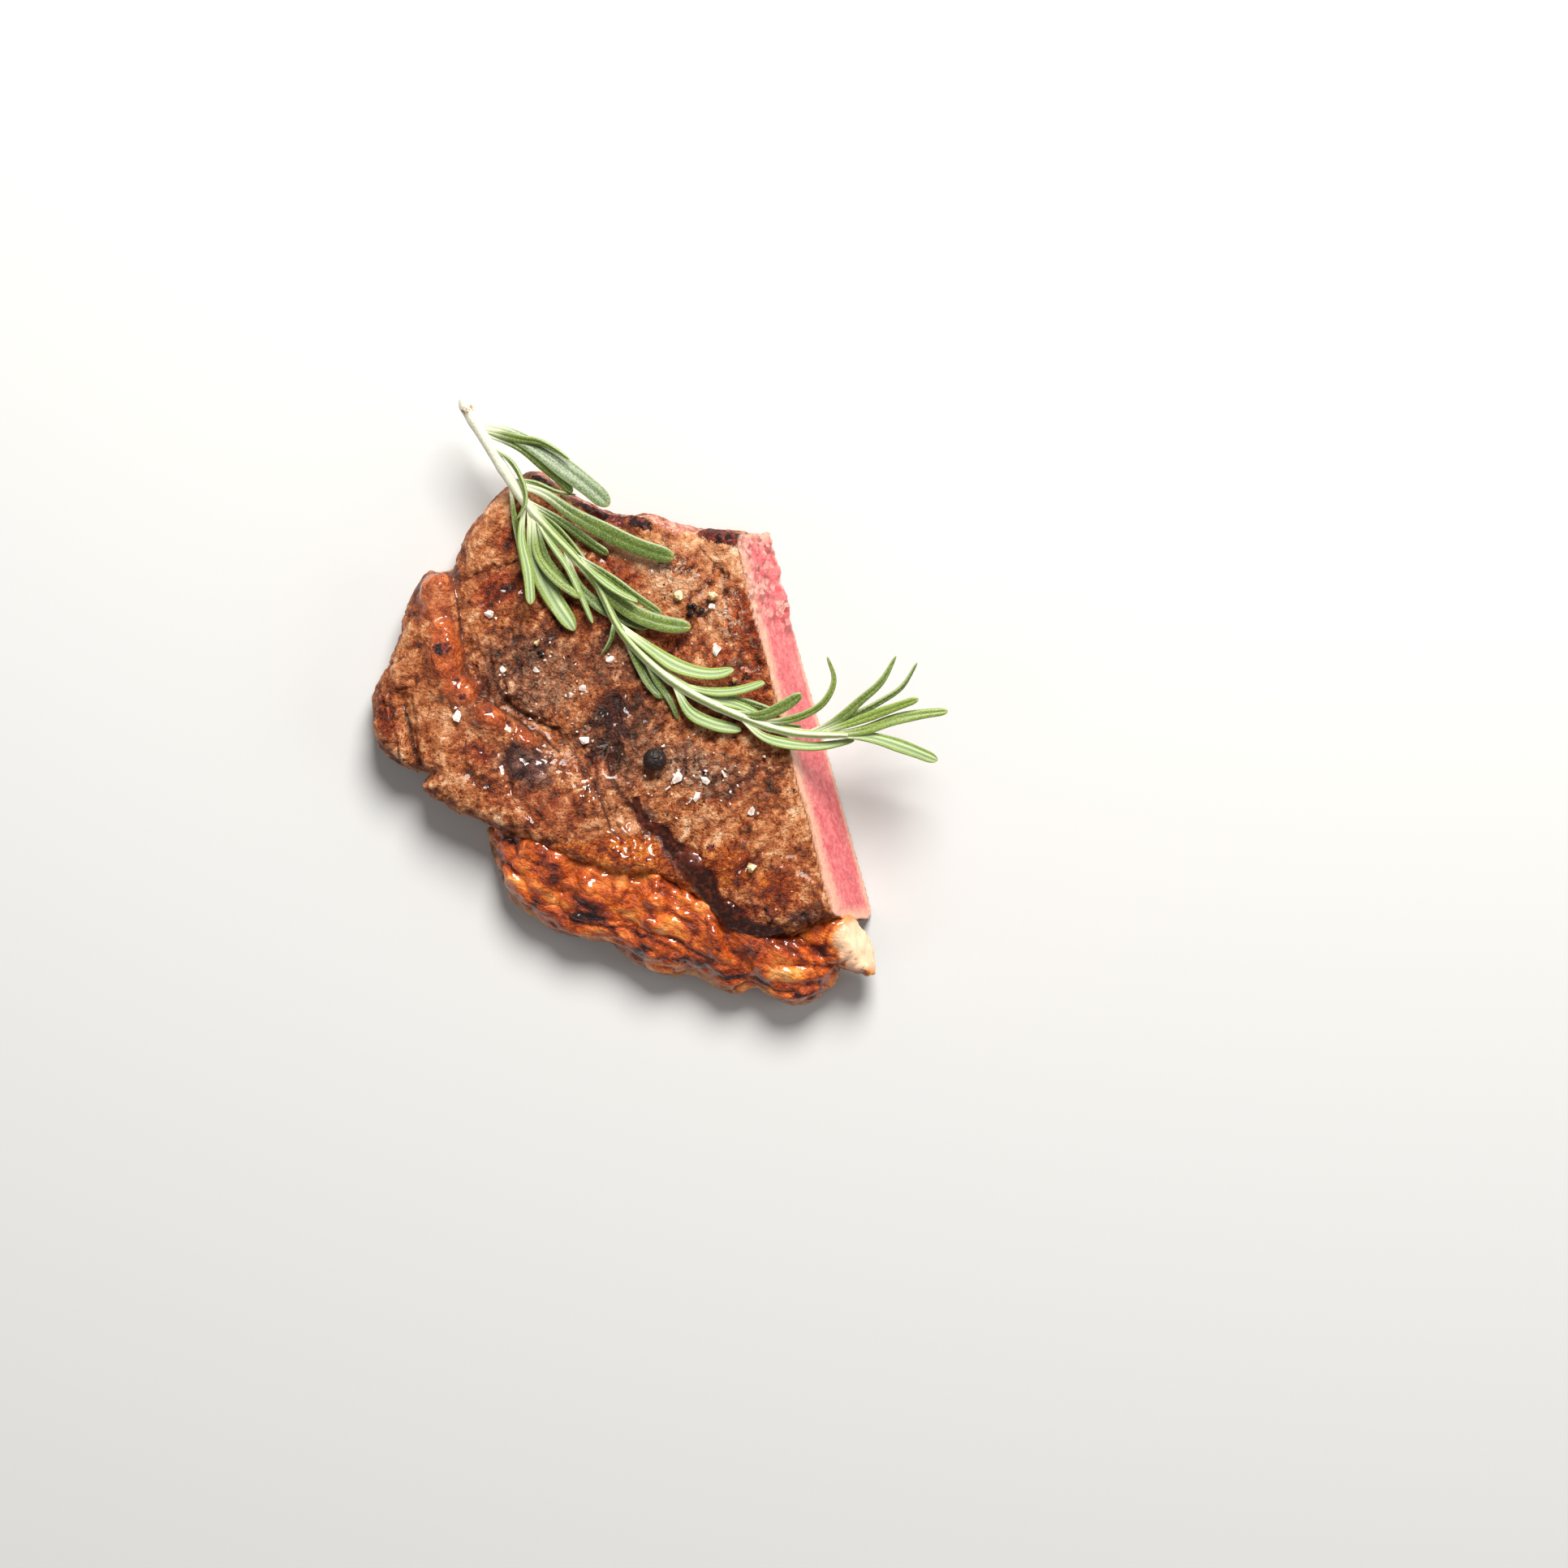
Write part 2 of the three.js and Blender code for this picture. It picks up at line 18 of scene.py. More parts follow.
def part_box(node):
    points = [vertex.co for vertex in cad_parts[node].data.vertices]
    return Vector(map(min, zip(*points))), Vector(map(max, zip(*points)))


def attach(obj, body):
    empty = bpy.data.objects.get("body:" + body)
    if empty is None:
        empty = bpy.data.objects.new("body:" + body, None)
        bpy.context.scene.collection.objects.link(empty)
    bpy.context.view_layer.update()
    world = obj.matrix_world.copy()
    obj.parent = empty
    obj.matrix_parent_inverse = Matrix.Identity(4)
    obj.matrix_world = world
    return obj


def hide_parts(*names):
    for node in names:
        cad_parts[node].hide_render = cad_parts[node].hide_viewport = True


bl_info = {
    "name": "Seared Striploin Steak",
    "version": (1, 0, 0),
    "blender": (4, 5, 0),
    "location": "View3D > Sidebar > Steak",
    "description": "Builds the surfaces of a seared, sliced striploin steak with rosemary",
    "category": "Object",
}

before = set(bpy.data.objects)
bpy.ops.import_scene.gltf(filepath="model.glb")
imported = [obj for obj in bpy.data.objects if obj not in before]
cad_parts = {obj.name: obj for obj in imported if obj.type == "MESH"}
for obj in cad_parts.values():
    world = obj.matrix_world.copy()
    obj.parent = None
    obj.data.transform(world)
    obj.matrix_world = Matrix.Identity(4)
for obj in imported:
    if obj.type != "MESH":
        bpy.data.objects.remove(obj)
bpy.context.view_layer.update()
MM = 0.001
MM_IN_METRE = 1000

# ------------------------------------------------------------------------------ the meat's sizes

THICKNESS = 16.4
RISE_TOWARDS_CUT = 0.035
RISE_TOWARDS_FAT = 0.04
UNEVENNESS = 0.45
CUT_SLOPE = 0.47
CUT_NORMAL = (0.963, 0.27)
CUT_DISTANCE = 35.6

LEAN_OUTLINE = [
    (-32, 49), (-26.1, 52.6), (-18, 47.9), (-6.3, 42.8), (0, 43.2), (8.1, 40.3), (20.2, 39.1),
    (36, 38), (48, 20), (58, -12), (63, -45), (50, -48), (43, -47.8), (38.5, -48.6), (34.5, -50.6),
    (31, -52), (18.9, -51.5), (11.2, -44.5), (3, -39), (-9.9, -37.8), (-22, -33), (-36, -26.6),
    (-45, -22.5), (-50.8, -18), (-48.6, -14.6), (-52.5, -14.2), (-60.3, -9), (-62.1, 1.4),
    (-57.6, 11.2), (-53.6, 24), (-50, 29.7), (-44.4, 30.6), (-40.5, 39.6),
]
LEAN_CENTRE = (-2, -2)
# The meat's rounded side: how far in from the outline, and share of the top's height.
EDGE_PROFILE = [(3.4, 0), (1.3, 0.045), (0.2, 0.2), (0, 0.48), (0.8, 0.75), (2.2, 0.91), (4.4, 0.985)]

# Grooves where muscles meet and where the meat has folded: depth, half width and line.
GROOVES = [
    (1.5, 2.3, [(-43.9, 32), (-42.8, 24), (-41, 14), (-38, 6), (-33, 0.5), (-19, -9)]),
    (0.6, 0.7, [(-43.9, 32), (-42.8, 24), (-41, 14), (-38.6, 6), (-33, 0.5), (-26, -4), (-19, -9)]),
    (0.9, 1.1, [
        (-35, 14.5), (-35.4, 9), (-32, 1), (-27, -2.2), (-18, -7.2), (-14, -12.5), (-9, -23.5), (-4.5, -31.5),
    ]),
    (2.6, 1.8, [(-55.2, 2), (-53.5, -4.5), (-50.6, -15)]),
    (1.0, 0.9, [(-7.6, 2), (-6.9, -4), (-7.8, -14)]),
    (0.7, 0.55, [(-43, 28.4), (-38, 28.8), (-34, 31), (-29, 31.8)]),
    (1.0, 1.0, [(7, 41), (14, 34), (17.2, 25)]),
    (0.7, 0.8, [(17.2, 25), (20, 15), (25, 8)]),
    (2.2, 2.6, [(-4, -24), (0, -29.5), (8, -41), (17, -49.5), (34, -51)]),
    (0.7, 0.8, [(-33, -9), (-30, -20), (-22, -27)]),
]
# Swellings (height above 0) and hollows (below 0): middle, radii, height.
SWELLINGS = [
    (-46.2, 25.5, 3.8, 5.4, 1.8), (-45.4, 12.6, 3.6, 5, 2.2), (-42.6, 3.2, 4, 3.6, 1.8),
    (-35.4, -3, 4, 3.2, 1.5), (-28.4, -7.4, 4, 3.2, 1.4), (-25, -14.6, 6.5, 5, 1.3),
    (-14, -20.5, 7, 4.5, 1), (-4.5, -36, 7, 3, 1.2), (9, 32, 6, 4.5, 1),
    (8.4, -32.4, 3.4, 3, -1.6), (13.6, -40.8, 4.6, 4.2, -2.2), (2.6, -27, 3.4, 3, -1.3),
    (9.0, -34.6, 1.6, 2.0, 1.5), (20, -47, 4, 2, -0.8),
]

# ------------------------------------------------------------------------------ where it browned
# Soft patches: x, y, radius across, radius along, turn in degrees, strength.

PATCHES = {
    "tan": [
        (-37, 41, 6, 11, -25, 0.9), (-40, 33, 5, 4, 0, 0.8), (-38.6, 20, 2.4, 11, 8, 0.8),
        (-31, -0.5, 2.2, 8, 50, 0.5), (-54, 13, 3.6, 13, -22, 0.9), (-50, 6, 4, 7, 0, 0.5),
        (-48, -4, 7, 5, 0, 0.5), (10, 36.5, 9, 4.5, -15, 1.0), (19, 33, 4, 4, 0, 1.0),
        (-6, 35, 7, 4, -25, 0.8), (33, -22, 4.5, 10, -15, 0.8), (21, -22, 8, 6, 20, 0.6),
        (2, 26, 9, 7, -40, 0.7), (28, -30, 5, 4, 0, 0.4),
        (-14, -30, 9, 3, -25, 0.3), (-17, 33, 3, 4, 0, 0.4),
    ],
    "red": [
        (-33.5, 25.5, 6.8, 4.6, 15, 1.0), (-31, 36, 3, 3, 0, 0.8), (-6, 30, 7, 3, -35, 0.8),
        (11, 30, 6, 3, -30, 0.5), (22, 2, 5, 9, 15, 0.8), (6, 14, 8, 5, -35, 0.6),
        (29, -40, 5, 6, 0, 0.8), (17, -19, 7, 5, 0, 0.5), (-24, -22, 12, 6, -25, 0.7),
        (-12, -13, 6, 6, 0, 0.6), (22, 18, 4, 12, 15, 1.0), (-58, -4, 2.5, 6, 0, 0.9),
        (-38, -10, 7, 4, -30, 0.8), (16, 10, 8, 5, -30, 0.7), (22, -45, 5, 3, 0, 0.7),
        (-34, -20, 6, 4, -30, 0.6),
    ],
    "dark": [
        (-25, 14, 8, 6, 0, 0.3), (-15, 19, 8, 4.5, -30, 0.7), (24, -27, 6, 3, 20, 0.5),
        (-8.8, -1, 3, 10, 5, 1.0), (-12, 8, 7, 4, -30, 0.6), (6, -13, 9, 4, -10, 0.4),
        (24, 12, 2, 5, 15, 0.6), (-27, -13.5, 6, 4, -15, 0.1), (34, -47.5, 8, 2.4, 5, 0.8),
        (-50.5, -8, 1.2, 5, -8, 1.0), (-55, -3, 1, 6, 10, 0.7), (-44.5, 29.5, 2, 3, 30, 0.4),
        (3, -27.5, 3, 2, -30, 0.9), (-36, -16, 5, 1.6, -30, 0.5), (15, -43.5, 3.4, 2.4, -30, 0.6),
        (-6, -1, 5, 7, 0, 1.0), (24, -34, 4, 3, 0, 0.5),
    ],
    "grey": [
        (-26, 8, 13, 11, -20, 1.0), (-6, -8, 12, 12, 0, 0.9), (10, -14, 14, 6, -15, 1.0),
        (-8, 10, 8, 8, 0, 0.8), (26, -14, 9, 8, 0, 0.4), (-20, -10, 6, 5, -15, 0.4),
    ],
    "mauve": [
        # The first patch is the lump in the pan juices: its grey-mauve tone is partly a painted reflection.
        (8.6, -34.4, 2.6, 2.3, -20, 1.0), (-27, -13.5, 7.5, 5.4, -15, 0.85), (-1, -24.5, 3, 5, 14, 0.7),
        (34, -46.5, 6, 2.6, 0, 0.7), (12, -25, 4, 3, -20, 0.4), (-40, -2, 3, 2.4, 0, 0.4),
        (-7, -3, 2.6, 7, 5, 0.8),
    ],
    "amber": [
        (17, -35.5, 7.5, 5.5, -35, 1.1), (28, -40, 6.5, 5, -20, 1.0), (20, -31, 6, 3, -30, 0.6),
        (-2, -19, 2.4, 5, 20, 0.5), (21, 16, 2.4, 9, 12, 0.5), (27.5, 4, 2, 5, 10, 0.7),
    ],
    "wet": [
        (-30, -14, 17, 9, -30, 0.9), (-12, -24, 10, 9, -20, 1.0), (-52, 0, 7, 10, 0, 0.3),
        (24, -40, 12, 8, 0, 0.5), (-4, 32, 12, 6, -30, 0.6), (16, 14, 8, 14, 15, 0.3),
        (-33, 26, 6, 4, 0, 0.5), (-7, -2, 5, 8, 0, 0.5), (-46, 25, 5, 6, 0, 0.6),
    ],
    "bulge": [
        (-47.4, 25.0, 4.4, 7.0, -10, 0.9), (-46.0, 17.6, 3.8, 2.8, 0, 0.75),
        (-45.2, 11.4, 4.0, 6.6, 6, 1.0), (-42.0, 3.4, 4.4, 3.6, -10, 1.0),
        (-35.0, -2.4, 4.6, 3.0, -30, 0.8), (-27.8, -7.0, 3.8, 2.2, -35, 0.6),
    ],
    "char": [
        (-10.5, 43.2, 7.4, 2.0, -22, 1.0), (-2.4, 40.4, 4, 1.8, -20, 0.9), (-24.5, 50.4, 4, 1.6, -32, 0.8),
        (16, 37.4, 5.6, 1.9, -14, 1.2), (13.8, -31.2, 1.2, 1.6, 0, 0.8), (20.5, -45.7, 1.4, 1.2, 0, 0.8),
        (26, -45.4, 2, 1.2, -20, 0.7),
    ],
    "bare": [
        (-13, 46.4, 9, 2.2, -22, 0.9), (-1, 43.4, 6, 1.8, -14, 1.0), (6, 41, 6, 2.6, -8, 1.0),
        (-24, 51.4, 5, 1.6, -20, 0.6), (-6, 38.4, 7, 1.4, -22, 0.7),
    ],
    # Where the crust gets pale flecks that are partly painted highlights and painted glints, and the upper
    # swelling a tan tone.
    "light": [
        (4, 30, 12, 6, -30, 1.0), (16, 22, 6, 12, 10, 0.7), (-8, 36, 8, 3, -20, 0.8), (-47, 25, 4, 4, 0, 0.6),
        (-43, -2, 5, 5, 0, 0.5), (0, -31, 7, 4, -30, 0.7), (-22, -14, 10, 8, -20, 0.2),
        (-24, 4, 11, 8, 0, 0.35), (8, -14, 14, 6, -10, 0.5),
    ],
}
# Bursts of char on the swellings: middle and radius.
CHAR_BURSTS = [
    (-45.9, 12.6, 2.0), (-42.6, 5.4, 0.9), (-41.2, 2.0, 1.1), (-35.6, -1.2, 1.2), (-31.2, -3.6, 0.8),
]
# Thin dark seams where muscles meet or the meat folded: half width, strength and line.
SEAMS = [
    (0.3, 0.9, [(-43.8, 32), (-43.2, 28), (-40.5, 28.4), (-36.7, 29.9), (-32.6, 31), (-28.6, 32.4)]),
    (0.5, 1.0, [
        (-44, 31), (-42.8, 23.4), (-42, 18), (-40.9, 10.8), (-39, 4.5), (-36, 2.2), (-30.6, -1.8),
        (-25.2, -5.4), (-19.8, -10),
    ]),
    (0.42, 1.0, [
        (-35.3, 14), (-35, 7), (-32.6, 1.6), (-29.2, -1.3), (-25, -3.6), (-20.3, -5.4), (-16.5, -10.5),
        (-12, -17), (-9.6, -24), (-6.5, -30),
    ]),
    (0.9, 1.0, [
        (-8.6, 0.5), (-7.6, -2.7), (-7.8, -6.3), (-8.6, -10.8), (-8.1, -16.2), (-5.4, -20.7), (-2.7, -23.4),
    ]),
    (0.4, 0.9, [(11.2, 35.6), (13, 33.3), (16.2, 29.5), (16.8, 25.4), (17.8, 17.5), (19, 12)]),
    (0.35, 0.7, [(3, 37), (5, 34), (8, 31)]), (0.3, 0.6, [(6, 38.5), (10, 34.5), (12, 31)]),
    (0.6, 1.0, [(-54.5, 0), (-53, -6.3), (-51, -14.4)]),
    (0.45, 0.8, [(-57.6, 3.6), (-56.4, -5.4), (-55.4, -11.7)]),
    (0.35, 0.7, [(-49.5, 10), (-48.6, 2), (-49.5, -6)]),
    (0.35, 0.8, [(-40, -6), (-41.5, -12), (-38, -18)]),
    (0.35, 0.8, [(-33, -9), (-31, -15), (-30, -21), (-24, -27)]),
    (0.3, 0.7, [(16, -20), (22, -15.5), (27, -13), (31, -13.5)]),
    (0.3, 0.6, [(13, -28), (20, -23), (24, -19), (25.5, -17)]),
]
# Bands with a half width at each point: juices that collected along the groove, and the golden
# meat that the fat cap's edge melts into.
SAUCE_BAND = [
    (-3, -21, 0.8), (-1.5, -25.5, 1.2), (3, -28.5, 1.8), (7.5, -33.4, 3.0), (12.4, -39.5, 2.8),
    (15.5, -45.4, 2.8), (21, -49, 2.2), (29, -50.8, 1.4),
]
GOLD_BAND = [(-24, -33, 1.8), (-14, -33.5, 4), (-5, -34, 6), (2, -37.5, 5.4), (8, -43, 4), (13, -47, 2)]
# Charred rolls at the far edge, which stand up: middle, half length, half width, turn, height.
CHAR_ROLLS = [
    (16, 37.4, 5.2, 1.5, -14, 1.5), (-10.5, 43.4, 7, 1.5, -22, 0.9), (-2.4, 40.6, 3.6, 1.4, -20, 0.8),
]

# ------------------------------------------------------------------------------ fat cap

FAT_OUTER = [
    (-36.6, -27.5), (-34.6, -35), (-30.2, -43.6), (-22.6, -49.8), (-15.5, -52.2), (-9.5, -53.2),
    (-3, -57.8), (3.6, -60.2), (9.4, -59.6), (18.9, -64.2), (24, -63.2), (31.5, -67), (38, -65),
    (42, -60.5), (42.6, -56),
]
FAT_INNER = [(-33, -26), (-24, -29), (-10, -34), (2, -36.5), (12, -43), (20, -48), (36, -52)]
# The strip's section: share of its width, out from the lean, and share of its height.
FAT_SECTION = [
    (0, 0), (0, 0.9), (0.22, 1), (0.48, 0.96), (0.68, 0.86), (0.8, 0.8),
    (0.91, 0.66), (0.99, 0.42), (1, 0.26), (0.96, 0.08), (0.86, 0),
]
FAT_HEIGHT = 14.6
# Ripples of its height along the strip: height and pace.
FAT_RIPPLES = [(0.05, 41), (0.04, 67)]
# The egg-shaped end that the knife opens: middle, radii, and roll and turn in radians.
FAT_TONGUE = ((46, -53.2, 10.9), (14, 6.6, 5), 0.65, -0.32)
# Where it crisped: lines along its crest, and patches.
CRISP_LINES = [
    [(-35, -37), (-30, -41.5), (-25, -44.5), (-20, -46.5), (-11, -46.8), (-7.5, -50.5)],
    [(-7, -52), (0, -56), (9, -56.6), (17, -60.5), (24, -60)],
    [(38, -53.5), (40, -58), (38, -63), (31, -65)],
]
CRISP_PATCHES = [
    (-12, -45, 5, 3.6, -20, 1.0), (-4, -54, 4, 3, 0, 0.8), (36, -57, 4, 5, 0, 0.9), (30, -54, 6, 2, 0, 0.6),
    (-33, -33, 3, 4, 0, 0.8), (14, -58, 3, 2.5, 0, 0.5), (27, -62.5, 4, 2, 0, 0.6),
]
# Soft patches of the fat, as for the meat: where cream fat shows from above, amber places that are partly
# painted highlights, and pale places.
CREAM_FLAP = [(46.6, -53.4, 5.6, 4.0, -38, 1.6)]
AMBER_AND_HIGHLIGHT_FAT_PATCHES = [
    (40.5, -51.5, 3.6, 3, -30, 1.2), (19, -60, 4, 2, -10, 0.7), (-28, -40, 5, 2, -40, 0.6),
    (-8, -44, 6, 2, -25, 0.6), (37.5, -53.5, 4.4, 4, 0, 1.0), (32, -60, 3, 2.4, 0, 0.8),
    (4, -47, 4, 2, -30, 0.6),
]
PALE_FAT_PATCHES = [
    (-27, -38, 6, 2.6, -30, 0.8), (3, -50, 6, 3, -20, 0.6), (31, -60, 6, 3, -10, 1.0),
    (18, -57, 5, 2.4, 0, 0.6),
]

# ------------------------------------------------------------------------------ rosemary

STEM_LINE = [
    (-41.6, 68, 15.8), (-36, 58.6, 16.3), (-31, 50.4, 16.7), (-26.6, 44, 17), (-21.6, 38.4, 17.2),
    (-12, 27.8, 18), (-6, 16.4, 18.4), (5, 5.8, 19.3), (18, -1.2, 19.8), (31.5, -5.8, 20.8), (44, -6.6, 22.6),
]
STEM_RADII = [1.45, 1.2, 1.1, 1.0, 0.85, 0.85, 1.1, 1.25, 1.15, 1.0, 0.7]
# How pale the stem is from side to side of it.
STEM_STRIPES = [0.9, 0.6, 0.2, 0.5, 0.8, 1.0, 0.4, 0.1, 0.6, 0.9]
# Leaves: distance along the stem where each grows, plan points on to its tip, width, lift of the tip,
# tilt about its own line in degrees (over 90 shows the underside), and from 0 to 1 how yellow, how
# frosted and how pointed it is.
LEAVES = [
    (9, [(-28.8, 57.2), (-23.4, 53.1), (-16.9, 47.3)], 2.3, -0.5, 25, 0.3, 0.1, 0),
    (7, [(-31.5, 60.6), (-25.2, 57.1), (-18, 52), (-12.1, 47.4), (-8.8, 44.3)], 4.5, 0.5, -15, 0.4, 1, 0),
    (8, [(-28.6, 59), (-24.6, 58.4), (-20.9, 56.7), (-17.4, 54.3)], 1.9, 2.5, 30, 0.4, 0.1, 1),
    (12, [(-30.2, 53.6), (-27.4, 48.2), (-27.2, 44.6), (-29, 41.2)], 1.1, 3, 50, 0.4, 0, 1),
    (21, [(-25.2, 49.3), (-20.7, 47.5), (-16.2, 46.8)], 1.1, -2, 30, 0.3, 0, 1),
    (21, [(-29.9, 42.8), (-28.6, 35.1), (-27.4, 28.4)], 1.4, -2, -40, 0.2, 0, 0.5),
    (22, [(-23.4, 47), (-17.1, 42.6), (-9.9, 38.6), (-2.7, 35.3), (5.6, 32.6)], 4.0, 1, 8, 0.35, 0, 0),
    (26, [(-18.9, 40.5), (-13.5, 36.5), (-9, 33.5)], 2.2, -1.5, 20, 0.1, 0, 0),
    (27, [(-20.7, 39.6), (-17.1, 35.6), (-14, 32)], 1.6, -2.5, 35, 0.4, 0, 0.4),
    (27, [(-28.1, 36.9), (-26.6, 29.7), (-25.9, 22.3)], 2.4, 2.5, 170, 0.6, 0, 0),
    (29, [(-25, 32.4), (-21.6, 24.7), (-16.4, 16.7)], 4.4, -1.5, 168, 0.5, 0, 0.3),
    (30, [(-24.5, 33.3), (-20.2, 27.7), (-14.9, 23.8)], 2.2, 1, -30, 0.7, 0, 0.2),
    (31, [(-22.5, 32.8), (-18.9, 28.4), (-16.6, 26.6)], 1.4, -1.5, -30, 0.1, 0, 0.4),
    (29, [(-22.5, 37.1), (-18, 30.6), (-14.8, 23.9), (-12.4, 18.2)], 1.8, 0.5, 140, 0.5, 0, 0.6),
    (39, [(-14, 30.1), (-9, 25), (-3.6, 20.7), (2.7, 18.2), (9.4, 17.3)], 3.7, 2, 8, 0.4, 0, 0),
    (43, [(-10.8, 28.1), (-6.3, 24.8), (-2.3, 22.7)], 1.7, 4, 150, 0.8, 0, 0.4),
    (42, [(-9.9, 29.3), (-3.1, 24.3), (2.9, 20.2)], 2.0, 1.5, 20, 0.4, 0, 0.3),
    (40, [(-15.5, 26.6), (-10.8, 22), (-5, 19.1), (0, 17.3)], 2.7, -2, -20, 0.2, 0, 0),
    (60, [(-8.1, 15.3), (-9.2, 13), (-10.6, 11.2)], 1.1, -2, -40, 0.1, 0, 1),
    (61, [(0, 12.8), (5.8, 9), (11.2, 7.2), (15.3, 7), (18.9, 7.9)], 3.3, 2.5, 155, 0.9, 0, 0.4),
    (64, [(-2.9, 10.4), (0, 5.4), (3.1, 1.6)], 2.5, -2.5, -25, 0.1, 0, 0),
    (70, [(2.3, 4.9), (5, 0.7), (6.5, -3.1)], 1.8, -2.5, -30, 0.2, 0, 0.8),
    (80, [(13, 3.1), (18.9, 3.1), (25.7, 5)], 2.3, 2.5, 150, 1.0, 0, 0.2),
    (80, [(13.5, 1.6), (19.4, 0.2), (24.8, -2)], 2.3, 1, 160, 1.0, 0, 0.6),
    (88, [(18.9, 1.3), (24.3, 0), (28.4, -1.4)], 1.7, 0, 25, 0.7, 0.7, 0.8),
    (79, [(9, -1.3), (14, -4), (20.5, -5.4)], 3.1, -1.5, 165, 0.4, 0, 0.2),
    (93, [(24.3, -2.3), (29.2, -0.5), (33.8, 2.5)], 2.7, 3.5, 20, 0.4, 0.2, 0),
    (98, [(28.8, -3.5), (34.6, -2), (38.7, 0.7), (40.9, 5.4), (39.4, 10.6)], 1.8, 4.5, 30, 0.5, 0.1, 1),
    (97, [(27.9, -4.2), (33.8, -4.6)], 1.1, -0.5, 20, 1.0, 0, 0.6),
    (95, [(25.2, -6.8), (31, -8.5), (37.4, -9), (45.4, -7.7)], 2.5, 0.5, 155, 0.5, 0, 0.7),
    (111, [(41.4, -3.4), (46.8, 1.1), (51.3, 5.2), (54.5, 10.8)], 2.2, 3.5, 25, 0.5, 0.3, 1),
    (112, [(44.1, -2.9), (51.3, 0.9), (55.8, 4), (59.2, 9.4)], 1.6, 1, 35, 0.4, 0.2, 1),
    (113, [(45, -3.8), (51.8, -1.3), (59.4, 1.4)], 2.2, 3.5, 5, 1.0, 0, 0.3),
    (114, [(46.8, -5.6), (54, -3.2), (59.8, -2), (65.9, -1.3)], 2.6, 1.5, -8, 0.8, 0, 0.4),
    (116, [(48.6, -7), (56.2, -9.2), (63.7, -12.1)], 3.0, -1, 168, 0.5, 0, 0.2),
]
LEAF_THICKNESS = 0.75
# How far a leaf stays above the smooth top.
LEAF_GAP = 0.4

# ------------------------------------------------------------------------------ salt and pepper

# Larger bits: place and size.
SALT_FLAKES = [
    (-35.6, 20.2, 3), (14.9, 12.2, 4), (14, 21.8, 2.2), (-32.4, 8, 2), (-24.8, 8, 2.2), (-14.6, 4, 2.4),
    (-17.2, 2.4, 2), (-8.6, 10.4, 2.4), (6.4, -15.8, 3.6), (10.2, -20, 3.4), (4.7, -18.4, 2.4),
    (12.4, -16.6, 2.6), (16.8, -15.2, 2.2), (22.8, -23.2, 2.6), (-42.4, -2.2, 3.2), (-14.4, -7.6, 3.4),
]
WHITE_PEPPER_BITS = [(6.4, 24.2, 3.2), (14.2, 24, 3.4), (-24.8, 14, 2), (19, 5.8, 2), (22.9, -35.6, 3.4)]
BLACK_PEPPER_BITS = [(10.2, 21.4, 5.4), (-24.2, 11.8, 2.4), (21.5, 6.6, 2.2)]
PEPPERCORN = (1.4, -11.9, 5.2)
# Sizes of the scattered grains.
SMALL_SALT = (0.5, 1.3)
SMALL_WHITE_PEPPER = (0.5, 1.1)
SMALL_BLACK_PEPPER = (0.35, 0.95)
# Where they lie: middle, spread, and how many of salt, white pepper and black pepper.
GRAIN_PATCHES = [
    (-24, 6, 10, 16, 4, 34), (10, -16, 11, 30, 8, 46), (9, 22, 9, 7, 5, 22), (30, -12, 9, 3, 2, 14),
    (-14, -4, 12, 5, 2, 20),
]

# ------------------------------------------------------------------------------ settings


def linear(code):
    """A colour written as six hex digits, as linear red, green and blue."""
    shares = [int(code[i : i + 2], 16) / 255 for i in (0, 2, 4)]
    return tuple(c / 12.92 if c <= 0.04045 else ((c + 0.055) / 1.055) ** 2.4 for c in shares)


def colour(name, description, code):
    return FloatVectorProperty(
        name=name, description=description, subtype="COLOR", size=3, min=0, max=1, default=linear(code)
    )


def power(name, description, watts):
    return FloatProperty(name=name, description=description, default=watts, min=0, max=200, unit="POWER")


def shift(name, description):
    return FloatProperty(name=name, description=description, default=0.0, min=-0.5, max=0.5)


class MeatSettings(bpy.types.PropertyGroup):
    """The lean meat: how fine its mesh is, its colours and how brown it is."""

    mesh_size: FloatProperty(
        name="Mesh size", description="Edge length of the meat's mesh", default=0.00049,
        min=0.0003, max=0.002, precision=5, subtype="DISTANCE", unit="LENGTH",
    )
    pink: colour("Pink", "Rare middle of the cut face", "E8606A")
    pale: colour("Pale", "Cooked rim of the cut face", "E4A88C")
    juice: colour("Juice", "Pan juices in the hollows", "2A0D06")
    bulge: colour("Bulge", "Glossy swellings on the side muscle", "C65C28")
    bloom: shift("Doneness", "Shifts the whole crust between pale and charred")


class FatSettings(bpy.types.PropertyGroup):
    """Colours of the fat cap, and how far it is fried."""

    cream: colour("Cream", "Where the knife cut the fat", "FBCCA4")
    flank: colour("Flank", "Less fried outer side", "C08A4E")
    fry: shift("Frying", "Shifts the fat between cream and crisp")


class HerbSettings(bpy.types.PropertyGroup):
    """Colours of the rosemary."""

    deep_green: colour("Deep green", "Upper side of the oldest leaves", "4D6027")
    yellow_green: colour("Yellow green", "Upper side of the youngest leaves", "879B3A")
    felt: colour("Felt", "Underside of the leaves", "AEBE90")
    bark: colour("Bark", "The stem", "E3E0CB")


class SeasoningSettings(bpy.types.PropertyGroup):
    """Colours of salt and pepper, and how they are scattered."""

    seed: IntProperty(name="Seed", description="Changes how the grains are scattered", default=11, min=0)
    salt: colour("Salt", "Colour of the salt flakes", "EDE4DC")
    black_pepper: colour("Black pepper", "Husk of the black pepper", "1A1210")
    white_pepper: colour("White pepper", "Inside of the pepper", "F1DEB2")


